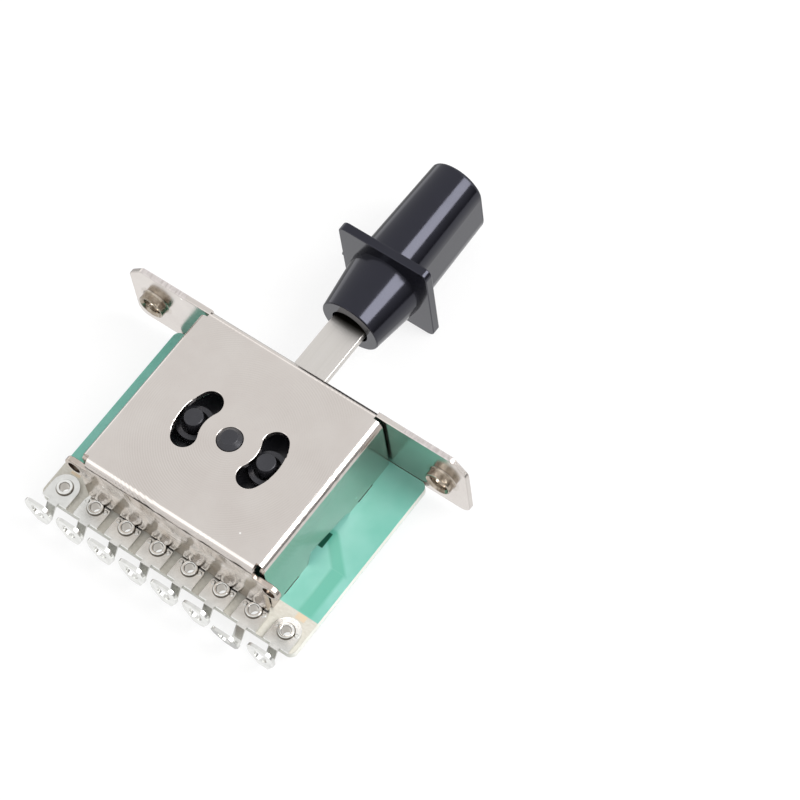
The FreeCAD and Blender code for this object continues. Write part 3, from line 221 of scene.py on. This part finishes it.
def build_ripple_group():
    """Faint curved ripples in patches, as a press tool leaves on bright sheet."""
    group, ends_in, ends_out = new_group(
        "press_ripple",
        [("Place", "NodeSocketVector", None), ("Scale", "NodeSocketFloat", 1100.0),
         ("Patch Scale", "NodeSocketFloat", 120.0)],
        [("Height", "NodeSocketFloat")])
    wave = add_node(group, "ShaderNodeTexWave", {"wave_type": "RINGS", "rings_direction": "SPHERICAL"},
                    Distortion=1.2, Detail=0.0, Detail_Scale=0.1)
    patches = add_node(group, "ShaderNodeTexNoise", Detail=1.0)
    for texture, scale in ((wave, "Scale"), (patches, "Patch Scale")):
        join(group, ends_in.outputs["Place"], texture.inputs["Vector"])
        join(group, ends_in.outputs[scale], texture.inputs["Scale"])
    patch = calculate(group, "SUBTRACT", patches.outputs["Fac"], 0.42, clamp=True)
    join(group, calculate(group, "MULTIPLY", wave.outputs["Fac"], patch), ends_out.inputs["Height"])
    return group


def build_reach_group():
    """How far a place lies from the nearest rivet's axis, in metres."""
    group, ends_in, ends_out = new_group(
        "rivet_reach", [("Place", "NodeSocketVector", None)], [("Reach", "NodeSocketFloat")])
    across, _, height = split(group, ends_in.outputs["Place"])
    counted = calculate(group, "ADD", calculate(group, "DIVIDE", across, LUG_PITCH * MM), 0.5)
    nearest = calculate(group, "ROUND", counted)
    off = calculate(group, "MULTIPLY", calculate(group, "SUBTRACT", counted, nearest), LUG_PITCH * MM)
    up = calculate(group, "SUBTRACT", height, EYELET_Z * MM)
    join(group, distance(group, off, up), ends_out.inputs["Reach"])
    return group


GRAIN = build_grain_group()
SPECKS = build_speck_group()
LINES = build_line_group()
RIPPLE = build_ripple_group()
RIVET_REACH = build_reach_group()


def use_group(tree, group, place, **values):
    """Puts an effect group into a material's tree with its own values."""
    made = add_node(tree, "ShaderNodeGroup", {"node_tree": group}, **values)
    join(tree, place, made.inputs["Place"])
    return made


def new_finish(name, **surface):
    """A material with one shader; gives the material, its tree, the shader and the object place."""
    finish = bpy.data.materials.new(name)
    finish.use_nodes = True
    tree = finish.node_tree
    shader = tree.nodes["Principled BSDF"]
    for socket, value in surface.items():
        shader.inputs[socket.replace("_", " ")].default_value = value
    place = add_node(tree, "ShaderNodeTexCoord").outputs["Object"]
    return finish, tree, shader, place


def spread(tree, value, low, high):
    """Takes the part of a noise's range that carries its pattern to low to high."""
    ranged = add_node(tree, "ShaderNodeMapRange",
                      From_Min=NOISE_LOW, From_Max=NOISE_HIGH, To_Min=low, To_Max=high)
    join(tree, value, ranged.inputs["Value"])
    return ranged.outputs["Result"]


def dent(tree, shader, height, depth):
    """Feeds a height in units of depth metres into the shader's normal."""
    bump = add_node(tree, "ShaderNodeBump", Strength=1.0, Distance=depth)
    join(tree, height, bump.inputs["Height"])
    join(tree, bump.outputs["Normal"], shader.inputs["Normal"])


def plated_finish(name, light, shade, roughness, grain_scale, ripple, dark_rings=()):
    """Satin plate over sheet metal: nearly even tone, faint ripple, few tiny pinholes. Dark rings lie
    around the rivets' axes, each with two radii in millimetres and its colour: painted shade inside a
    rivet's bore, and a darker line in the crevice round a rivet's foot."""
    finish, tree, shader, place = new_finish(name, Metallic=1.0)
    grain = use_group(tree, GRAIN, place, Scale=grain_scale, Fine_Scale=grain_scale * 9, Fine_Share=0.25)
    specks = use_group(tree, SPECKS, place, Scale=900.0, Size=0.08, Share=0.03)
    body = blend_colours(tree, spread(tree, grain.outputs["Tone"], 0.0, 1.0), light, shade)
    colour = blend_colours(tree, specks.outputs["Mask"], body, srgb(240, 238, 234))
    if dark_rings:
        # Rings around the rivets' axes: painted shade inside a rivet's bore, a darker line round its foot
        reach = use_group(tree, RIVET_REACH, place).outputs["Reach"]
        for low, high, ring_colour in dark_rings:
            colour = blend_colours(tree, within(tree, reach, low * MM, high * MM, 0.07 * MM), colour,
                                   ring_colour)
    join(tree, colour, shader.inputs["Base Color"])
    join(tree, spread(tree, grain.outputs["Tone"], roughness - 0.015, roughness + 0.015),
         shader.inputs["Roughness"])
    dent(tree, shader, grain.outputs["Height"], ripple)
    return finish


def within(tree, value, low, high, soft):
    """A mask that is 1 where a coordinate lies between two places, in metres, with a soft edge."""
    masks = []
    for edge, before, beyond in ((low, 0.0, 1.0), (high, 1.0, 0.0)):
        ranged = add_node(tree, "ShaderNodeMapRange", {"clamp": True}, From_Min=edge - soft / 2,
                          From_Max=edge + soft / 2, To_Min=before, To_Max=beyond)
        join(tree, value, ranged.inputs["Value"])
        masks.append(ranged.outputs["Result"])
    return calculate(tree, "MULTIPLY", masks[0], masks[1])


def between(tree, value, span, soft):
    """The same mask from a span and a softness in millimetres."""
    low, high = span
    return within(tree, value, low * MM, high * MM, soft * MM)


def housing_finish():
    """Nickel plate on the folded housing: calm on the flats, wavy on the pressed bottom wall with blotches
    of painted brown reflection and painted shade, painted shade in the holes of the pierced ears, hatched
    on the sheared edges of the plate, and browner with a coarser gleam on the drawn bushes."""
    finish, tree, shader, place = new_finish("nickel_plate", Metallic=1.0)
    across, depth, height = split(tree, place)
    side = calculate(tree, "ABSOLUTE", across)

    grain = use_group(tree, GRAIN, place, Scale=240.0, Fine_Scale=5200.0, Fine_Share=0.12)
    specks = use_group(tree, SPECKS, place, Scale=620.0, Size=0.09, Share=0.05)
    centred = add_node(tree, "ShaderNodeMapping", Location=(0, -FRONT_FACE * MM, -PIVOT_Z * MM))
    join(tree, place, centred.inputs["Vector"])
    press = use_group(tree, RIPPLE, centred.outputs["Vector"], Scale=1100.0, Patch_Scale=110.0)
    hatch = use_group(tree, LINES, place, Along=(9000.0, 300.0, 900.0))
    even = blend_colours(tree, spread(tree, grain.outputs["Tone"], 0.0, 1.0),
                         srgb(211, 205, 200), srgb(206, 199, 194))
    body = blend_colours(tree, calculate(tree, "MULTIPLY", press.outputs["Height"], 1.2, clamp=True),
                         even, srgb(188, 180, 174))
    wall = calculate(tree, "MULTIPLY", within(tree, height, -FAR * MM, BOTTOM_WALL_TOP * MM, 0.5 * MM),
                     within(tree, depth, BEHIND_BEND * MM, FAR * MM, 0.5 * MM))
    # Blotches of painted brown reflection and painted shade on the pressed bottom wall
    reflection_blotches = use_group(tree, GRAIN, place, Scale=420.0, Fine_Scale=2400.0, Fine_Share=0.4)
    painted_reflection = calculate(tree, "MULTIPLY", spread(tree, reflection_blotches.outputs["Tone"], 0.05, 0.85), wall)
    with_reflection = blend_colours(tree, painted_reflection, body, srgb(174, 160, 146))
    dotted = blend_colours(tree, specks.outputs["Mask"], with_reflection, srgb(246, 244, 240))

    # Painted shade on the inner walls of the holes in the pierced ears
    from_ear = calculate(tree, "SUBTRACT", side, EAR_X * MM)
    ear_depth = calculate(tree, "SUBTRACT", depth, EAR_Y * MM)
    ear_reach = distance(tree, from_ear, ear_depth)
    ear_shade = calculate(tree, "MULTIPLY", within(tree, ear_reach, -FAR * MM, EAR_HOLE * MM, 0.08 * MM), wall)
    ear_shaded = blend_colours(tree, ear_shade, dotted, srgb(92, 80, 68))

    # Drawn bushes under the plate's ends
    from_bush = calculate(tree, "SUBTRACT", side, SCREW_X * MM)
    reach = distance(tree, from_bush, depth)
    bush = calculate(tree, "MULTIPLY", within(tree, reach, -FAR * MM, BUSH_RADIUS * MM, 0.2 * MM),
                     within(tree, height, (BUSH_MOUTH - 1.5) * MM, BUSH_ROOT * MM, 0.1 * MM))
    drawn = use_group(tree, GRAIN, place, Scale=1400.0, Fine_Scale=4200.0, Fine_Share=0.5)
    bush_colour = blend_colours(tree, spread(tree, drawn.outputs["Tone"], 0.0, 1.0),
                                srgb(196, 186, 172), srgb(128, 116, 100))
    bushed = blend_colours(tree, bush, ear_shaded, bush_colour)

    # Sheared front edges of the plate's ends
    edge = calculate(tree, "MULTIPLY", within(tree, depth, -FAR * MM, (PLATE_FRONT + 0.1) * MM, 0.04 * MM),
                     calculate(tree, "MULTIPLY", within(tree, height, EDGE_FOOT * MM, 1 * MM, 0.06 * MM),
                               within(tree, side, PLATE_END_START * MM, FAR * MM, 0.2 * MM)))
    edge_colour = blend_colours(tree, spread(tree, hatch.outputs["Tone"], 0.0, 1.0),
                                srgb(228, 222, 220), srgb(188, 180, 177))
    join(tree, blend_colours(tree, edge, bushed, edge_colour), shader.inputs["Base Color"])

    rough = spread(tree, grain.outputs["Tone"], 0.175, 0.205)
    smoother = calculate(tree, "SUBTRACT", rough, calculate(tree, "MULTIPLY", bush, 0.04))
    join(tree, smoother, shader.inputs["Roughness"])

    # Heights in units of 0.01 mm
    waves = use_group(tree, LINES, place, Along=(360.0, 170.0, 80.0), Detail=1.4)
    brushed = use_group(tree, LINES, place, Along=(300.0, 3200.0, 240.0), Detail=2.0)
    flank = calculate(tree, "MULTIPLY", between(tree, side, FLANK_SPAN, 0.4),
                      between(tree, height, FLANK_RISE, 0.6))
    flank = calculate(tree, "MULTIPLY", flank, within(tree, depth, FLANK_START * MM, FAR * MM, 0.4 * MM))
    parts = (calculate(tree, "MULTIPLY", grain.outputs["Height"], 0.25),
             calculate(tree, "MULTIPLY", press.outputs["Height"], 2.0),
             calculate(tree, "MULTIPLY", calculate(tree, "MULTIPLY", flank, brushed.outputs["Tone"]), 0.9),
             calculate(tree, "MULTIPLY", calculate(tree, "MULTIPLY", wall, waves.outputs["Tone"]), 34.0),
             calculate(tree, "MULTIPLY", calculate(tree, "MULTIPLY", bush, drawn.outputs["Tone"]), 7.0),
             calculate(tree, "MULTIPLY", calculate(tree, "MULTIPLY", edge, hatch.outputs["Tone"]), 1.6))
    total = parts[0]
    for part in parts[1:]:
        total = calculate(tree, "ADD", total, part)
    dent(tree, shader, total, 0.01 * MM)
    return finish


def board_finish():
    """Green solder mask over glass laminate, with the printed traces showing through and a bare foot."""
    finish, tree, shader, place = new_finish("board_mask")
    across, depth, height = split(tree, place)
    grain = use_group(tree, GRAIN, place, Scale=150.0, Fine_Scale=3500.0, Fine_Share=0.2)
    tone = spread(tree, grain.outputs["Tone"], 0.0, 1.0)
    mask_green = blend_colours(tree, tone, srgb(137, 200, 187), srgb(112, 185, 168))

    # A trace runs down each side, from the bare patch up and then slanting inwards
    side = calculate(tree, "ABSOLUTE", across)
    upright = calculate(tree, "MULTIPLY", between(tree, side, TRACE_SPAN, 0.4),
                        between(tree, height, TRACE_RISE, 0.4))
    slant_line = calculate(tree, "ADD", side, height)
    slant = calculate(tree, "MULTIPLY", between(tree, slant_line, SLANT_SUM, 0.5),
                      between(tree, height, SLANT_RISE, 0.4))
    trace = calculate(tree, "MAXIMUM", upright, slant)
    mark = calculate(tree, "MULTIPLY", between(tree, side, MARK_SPAN, 0.08),
                     between(tree, height, MARK_RISE, 0.08))
    mark = calculate(tree, "MULTIPLY", mark, between(tree, depth, (INSIDE_BOARD, BOARD_BACK - 0.3), 0.1))
    traced = blend_colours(tree, trace, mask_green, srgb(100, 178, 158))
    marked = blend_colours(tree, mark, traced, srgb(22, 76, 60))

    # Bare laminate along the foot, with a small tinned patch at each end of it
    bare = between(tree, height, (-FAR, MASK_FOOT), 0.1)
    fibre = use_group(tree, LINES, place, Along=(2400.0, 600.0, 5200.0))
    bare_colour = blend_colours(tree, spread(tree, fibre.outputs["Tone"], 0.0, 1.0),
                                srgb(214, 211, 202), srgb(198, 194, 182))
    coloured = blend_colours(tree, bare, marked, bare_colour)
    patch = calculate(tree, "MULTIPLY", between(tree, side, PATCH_SPAN, 0.1),
                      between(tree, height, PATCH_RISE, 0.1))
    patched = blend_colours(tree, patch, coloured, srgb(216, 197, 170))

    # The sawn edges show the laminate itself
    skin = calculate(tree, "ADD", between(tree, depth, (INSIDE_BOARD, BOARD_FRONT + MASK_SKIN), 0.02),
                     between(tree, depth, (BOARD_BACK - MASK_SKIN, BEHIND_BOARD), 0.02))
    edge_colour = blend_colours(tree, tone, srgb(240, 240, 233), srgb(224, 225, 214))
    cut = blend_colours(tree, skin, edge_colour, patched)
    specks = use_group(tree, SPECKS, place, Scale=700.0, Size=0.07, Share=0.05)
    dotted = blend_colours(tree, specks.outputs["Mask"], cut, srgb(226, 238, 230))
    join(tree, dotted, shader.inputs["Base Color"])
    gloss = blend_colours(tree, bare, (0.28, 0.28, 0.28, 1), (0.6, 0.6, 0.6, 1))
    join(tree, gloss, shader.inputs["Roughness"])
    raised = calculate(tree, "ADD", calculate(tree, "MULTIPLY", trace, 1.2), grain.outputs["Height"])
    dent(tree, shader, raised, 0.012 * MM)
    return finish


def moulded_finish(name, dark, light, roughness, peel, dust, sheen, matte_from=1.0):
    """Black moulding: a faint unevenness in the gloss, and a little dust. Sheen tints what it mirrors,
    and from the height matte_from, in metres, the end of the moulding is matte."""
    finish, tree, shader, place = new_finish(name, Specular_Tint=sheen)
    grain = use_group(tree, GRAIN, place, Scale=420.0, Fine_Scale=5200.0, Fine_Share=0.08)
    specks = use_group(tree, SPECKS, place, Scale=900.0, Size=0.06, Share=dust)
    body = blend_colours(tree, spread(tree, grain.outputs["Tone"], 0.0, 1.0), dark, light)
    join(tree, blend_colours(tree, specks.outputs["Mask"], body, srgb(110, 110, 114)),
         shader.inputs["Base Color"])
    gloss = spread(tree, grain.outputs["Tone"], roughness - 0.01, roughness + 0.02)
    height = split(tree, place)[2]
    matte = within(tree, height, matte_from, 2.0, 0.3 * MM)
    join(tree, calculate(tree, "ADD", gloss, calculate(tree, "MULTIPLY", matte, 0.42)),
         shader.inputs["Roughness"])
    dent(tree, shader, grain.outputs["Height"], peel)
    return finish


def blade_finish():
    """Nickel plate on the lever, with a few faint drawing lines along its length, and painted shade where
    it goes into the knob's socket.
    """
    finish, tree, shader, place = new_finish("lever_plate", Metallic=1.0)
    lines = use_group(tree, LINES, place, Along=(2600.0, 2600.0, 60.0))
    grain = use_group(tree, GRAIN, place, Scale=300.0, Fine_Scale=4200.0, Fine_Share=0.15)
    tone = spread(tree, lines.outputs["Tone"], 0.2, 0.8)
    body = blend_colours(tree, tone, srgb(212, 208, 204), srgb(203, 199, 194))
    height = split(tree, place)[2]
    # Painted shade on the blade from just below the socket's mouth up into the knob
    inside = between(tree, height, (SOCKET_MOUTH - 0.4, FAR), 1.0)
    join(tree, blend_colours(tree, inside, body, srgb(58, 52, 44)), shader.inputs["Base Color"])
    rough = calculate(tree, "ADD", spread(tree, lines.outputs["Tone"], 0.32, 0.36),
                      spread(tree, grain.outputs["Tone"], -0.01, 0.01))
    join(tree, rough, shader.inputs["Roughness"])
    dent(tree, shader, lines.outputs["Tone"], 0.0012 * MM)
    return finish


NICKEL = housing_finish()
TIN = plated_finish("tinned_lug", srgb(226, 226, 223), srgb(212, 212, 209), 0.25, 900.0, 0.004 * MM,
                    dark_rings=((0.9, 1.08, srgb(138, 132, 124)),))
# The rivet's first ring is painted shade on the inner wall of its bore; the second is a darker line round
# its foot
RIVET = plated_finish("tinned_rivet", srgb(234, 234, 231), srgb(222, 222, 219), 0.18, 1500.0, 0.004 * MM,
                      dark_rings=((-1.0, 0.63, srgb(172, 167, 159)), (0.95, 1.5, srgb(138, 132, 124))))
BRONZE = plated_finish("contact_bronze", srgb(222, 178, 128), srgb(206, 160, 110), 0.28, 1200.0, 0.004 * MM)
SPRING = plated_finish("spring_wire", srgb(200, 200, 202), srgb(184, 184, 188), 0.22, 2200.0, 0.003 * MM)
BOARD = board_finish()
MOULDED = moulded_finish("rotor_moulding", srgb(34, 34, 38), srgb(42, 42, 46), 0.30, 0.010 * MM, 0.05,
                         (0.95, 0.95, 1.0, 1.0))
KNOB = moulded_finish("knob_moulding", srgb(10, 10, 15), srgb(14, 14, 20), 0.135, 0.002 * MM, 0.03,
                      (0.80, 0.81, 1.0, 1.0), matte_from=TIP_END * MM)
BLADE = blade_finish()


def dress(names, finish):
    """Gives CAD nodes their finish."""
    for name in names:
        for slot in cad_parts[name].material_slots:
            slot.material = finish


def start_piece():
    """Leaves nothing selected, so that the next operators act on the new piece alone."""
    if bpy.context.object and bpy.context.object.mode != "OBJECT":
        bpy.ops.object.mode_set(mode="OBJECT")
    bpy.ops.object.select_all(action="DESELECT")


def settle(piece, name, finish, angle=35.0):
    """Names a piece, bakes its place into its mesh, closes it and shades it."""
    piece.name = name
    piece.data.name = name
    bpy.ops.object.transform_apply(location=True, rotation=True, scale=True)
    bpy.ops.object.mode_set(mode="EDIT")
    bpy.ops.mesh.select_all(action="SELECT")
    bpy.ops.mesh.remove_doubles(threshold=1e-6)
    bpy.ops.mesh.normals_make_consistent(inside=False)
    bpy.ops.object.mode_set(mode="OBJECT")
    bpy.ops.object.shade_smooth_by_angle(angle=math.radians(angle))
    piece.data.materials.clear()
    piece.data.materials.append(finish)
    return piece


def bush_thread(name, x):
    """The ridge of the tapped thread, wound down the bush's bore."""
    start_piece()
    bpy.ops.mesh.primitive_circle_add(vertices=3, radius=THREAD_SECTION * MM, fill_type="NGON",
                                      location=(0, 0, 0), rotation=(math.pi / 2, 0, -math.pi / 2))
    piece = bpy.context.object
    bpy.ops.object.transform_apply(location=False, rotation=True, scale=True)
    bpy.ops.object.mode_set(mode="EDIT")
    bpy.ops.mesh.select_all(action="SELECT")
    bpy.ops.transform.rotate(value=math.pi / 2, orient_axis="Y", center_override=(0, 0, 0))
    bpy.ops.transform.translate(value=((TAP_RADIUS - THREAD_RIDGE / 3) * MM, 0, 0))
    bpy.ops.object.mode_set(mode="OBJECT")
    winding = piece.modifiers.new("winding", "SCREW")
    winding.axis = "Z"
    winding.steps = winding.render_steps = 40
    winding.iterations = THREAD_TURNS
    winding.screw_offset = THREAD_PITCH * MM
    winding.use_merge_vertices = False
    bpy.ops.object.modifier_apply(modifier="winding")
    piece.location = (x * MM, 0, (BUSH_MOUTH + THREAD_SECTION) * MM)
    return settle(piece, name, NICKEL)


def knob_nib():
    """The stub of the moulding's gate on the collar's left edge."""
    start_piece()
    bpy.ops.mesh.primitive_cylinder_add(vertices=16, radius=NIB_RADIUS * MM, depth=NIB_LENGTH * MM,
                                        location=(COLLAR_EDGE * MM, KNOB_Y * MM, COLLAR_MIDDLE * MM),
                                        rotation=(0, math.pi / 2, 0))
    piece = bpy.context.object
    rounding = piece.modifiers.new("rounding", "BEVEL")
    rounding.width = NIB_ROUND * MM
    rounding.segments = 3
    bpy.ops.object.modifier_apply(modifier="rounding")
    return settle(piece, "knob_nib", KNOB)


# Name, place, width, height, glow of its face, and whether reflections show it
LAMPS = (
    ("right_softbox", (0.43, -0.43, 0.17), 0.38, 0.34, 8.0, True),
    ("left_softbox", (-0.5, -0.32, -0.05), 0.5, 0.4, 2.0, False),
    ("left_strip", (-0.55, 0.09, 0.20), 0.2, 0.4, 0.5, True),
    ("top_strip", (-0.20, -0.25, 0.45), 0.25, 0.12, 0.5, True),
    ("low_softbox", (-0.22, -0.42, -0.34), 0.2, 0.34, 0.9, True),
    ("eye_strip", (-0.28, 0.62, -0.24), 0.35, 0.3, 0.12, True),
    ("low_right_softbox", (0.45, -0.35, -0.32), 0.4, 0.4, 1.3, False),
    ("top_softbox", (0.25, -0.3, 0.45), 0.2, 0.2, 1.4, False),
    ("back_softbox", (-0.3, 0.5, 0.3), 0.4, 0.4, 1.4, False),
)

# Name, place, width, height, and brightness at the left and the right
CARDS = (
    ("grey_card_right", (0.60, -0.10, 0.16), 0.5, 0.6, 0.02, 0.9),
    ("grey_card_low", (-0.22, 0.22, -0.5), 0.4, 0.25, 0.05, 0.05),
    ("grey_card_left", (-0.34, 0.40, 0.2), 0.6, 0.6, 0.45, 0.45),
)
AMBIENT = 0.56
FLOOR_BACK = 7.4
FLOOR_SHARE = 0.2


def softbox(name, place, width, height, glow, mirrored):
    """A studio softbox turned to the switch."""
    lamp = bpy.data.lights.new(name, "AREA")
    lamp.shape = "RECTANGLE"
    lamp.size = width
    lamp.size_y = height
    lamp.energy = math.pi * width * height * glow
    stand = bpy.data.objects.new(name, lamp)
    stand.location = place
    stand.rotation_euler = (-Vector(place)).to_track_quat("-Z", "Y").to_euler()
    stand.visible_glossy = mirrored
    bpy.context.scene.collection.objects.link(stand)


def ray_mask(tree, *kinds):
    """1 for rays of any of these kinds, otherwise 0."""
    rays = add_node(tree, "ShaderNodeLightPath")
    mask = rays.outputs[kinds[0]]
    for kind in kinds[1:]:
        mask = calculate(tree, "MAXIMUM", mask, rays.outputs[kind])
    return mask


def reflector(name, place, width, height, left, right):
    """A grey card turned to the switch, which only reflections see."""
    start_piece()
    bpy.ops.mesh.primitive_plane_add(size=1.0)
    card = bpy.context.object
    card.name = name
    card.scale = (width, height, 1)
    card.location = place
    card.rotation_euler = (-Vector(place)).to_track_quat("Z", "Y").to_euler()
    paper = bpy.data.materials.new(name)
    paper.use_nodes = True
    tree = paper.node_tree
    tree.nodes.clear()
    axes = add_node(tree, "ShaderNodeSeparateXYZ")
    join(tree, add_node(tree, "ShaderNodeTexCoord").outputs["Object"], axes.inputs[0])
    share = calculate(tree, "ADD", axes.outputs[0], 0.5, clamp=True)
    ramp = calculate(tree, "ADD", calculate(tree, "MULTIPLY", share, right - left), left)
    glow = add_node(tree, "ShaderNodeEmission", Color=(1, 1, 1, 1))
    join(tree, ramp, glow.inputs["Strength"])
    clear = add_node(tree, "ShaderNodeBsdfTransparent")
    chooser = add_node(tree, "ShaderNodeMixShader")
    join(tree, ray_mask(tree, "Is Glossy Ray"), chooser.inputs[0])
    join(tree, clear.outputs[0], chooser.inputs[1])
    join(tree, glow.outputs[0], chooser.inputs[2])
    join(tree, chooser.outputs[0], add_node(tree, "ShaderNodeOutputMaterial").inputs[0])
    card.data.materials.append(paper)


def studio():
    """White surroundings, a pale floor behind the switch, which lies on its back, and soft lamps."""
    world = bpy.data.worlds.new("studio_white")
    bpy.context.scene.world = world
    world.use_nodes = True
    tree = world.node_tree
    tree.nodes.clear()
    ambient = add_node(tree, "ShaderNodeBackground", Color=(1, 1, 1, 1), Strength=AMBIENT)
    white = add_node(tree, "ShaderNodeBackground", Color=(1, 1, 1, 1), Strength=1.0)
    chooser = add_node(tree, "ShaderNodeMixShader")
    join(tree, ray_mask(tree, "Is Camera Ray", "Is Glossy Ray", "Is Transmission Ray"), chooser.inputs[0])
    join(tree, ambient.outputs[0], chooser.inputs[1])
    join(tree, white.outputs[0], chooser.inputs[2])
    join(tree, chooser.outputs[0], add_node(tree, "ShaderNodeOutputWorld").inputs[0])

    start_piece()
    bpy.ops.mesh.primitive_plane_add(size=4.0, location=(0, FLOOR_BACK * MM, 0),
                                     rotation=(math.pi / 2, 0, 0))
    floor = bpy.context.object
    floor.name = "floor"
    paper = bpy.data.materials.new("white_paper")
    paper.use_nodes = True
    tree = paper.node_tree
    tree.nodes.clear()
    sheet = add_node(tree, "ShaderNodeBsdfDiffuse", Color=(1, 1, 1, 1))
    glow = add_node(tree, "ShaderNodeEmission", Color=(1, 1, 1, 1), Strength=1.0)
    lit = add_node(tree, "ShaderNodeMixShader", Fac=FLOOR_SHARE)
    join(tree, glow.outputs[0], lit.inputs[1])
    join(tree, sheet.outputs[0], lit.inputs[2])
    clear = add_node(tree, "ShaderNodeBsdfTransparent")
    face = calculate(tree, "SUBTRACT", 1.0, add_node(tree, "ShaderNodeNewGeometry").outputs["Backfacing"])
    seen = calculate(tree, "MULTIPLY", ray_mask(tree, "Is Camera Ray"), face)
    chooser = add_node(tree, "ShaderNodeMixShader")
    join(tree, seen, chooser.inputs[0])
    join(tree, clear.outputs[0], chooser.inputs[1])
    join(tree, lit.outputs[0], chooser.inputs[2])
    join(tree, chooser.outputs[0], add_node(tree, "ShaderNodeOutputMaterial").inputs[0])
    floor.data.materials.append(paper)

    for lamp in LAMPS:
        softbox(*lamp)
    for card in CARDS:
        reflector(*card)


def photograph():
    """The camera at the photograph's own viewpoint."""
    lens = bpy.data.cameras.new("portrait")
    lens.sensor_width = SENSOR
    lens.lens = CAMERA_LENS
    lens.clip_start = 0.01
    stand = bpy.data.objects.new("portrait", lens)
    stand.location = CAMERA_PLACE
    stand.rotation_euler = [math.radians(angle) for angle in CAMERA_TURN]
    bpy.context.scene.collection.objects.link(stand)
    bpy.context.scene.camera = stand


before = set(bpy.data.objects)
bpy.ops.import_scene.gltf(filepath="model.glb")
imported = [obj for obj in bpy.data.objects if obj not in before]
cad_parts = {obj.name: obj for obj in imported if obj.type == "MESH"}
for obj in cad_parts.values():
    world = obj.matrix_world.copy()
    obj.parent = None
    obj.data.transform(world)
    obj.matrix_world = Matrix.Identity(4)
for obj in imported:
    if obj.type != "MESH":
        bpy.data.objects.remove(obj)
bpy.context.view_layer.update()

dress(["housing"], NICKEL)
dress(["circuit_board"], BOARD)
dress([f"terminal_{number}" for number in range(1, 9)], TIN)
dress([f"eyelet_{number}" for number in range(1, 9)], RIVET)
dress(["rotor", "detent_saddle"], MOULDED)
dress(["lever_blade"], BLADE)
dress(["knob"], KNOB)
dress(["wiper_left", "wiper_right"], BRONZE)
dress(["detent_ball", "detent_spring"], SPRING)

for thread in (bush_thread("bush_thread_left", -SCREW_X), bush_thread("bush_thread_right", SCREW_X)):
    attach(thread, "frame")
nib = knob_nib()
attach(nib, "lever")

photograph()
studio()
settings = bpy.context.scene.view_settings
settings.view_transform = "Standard"
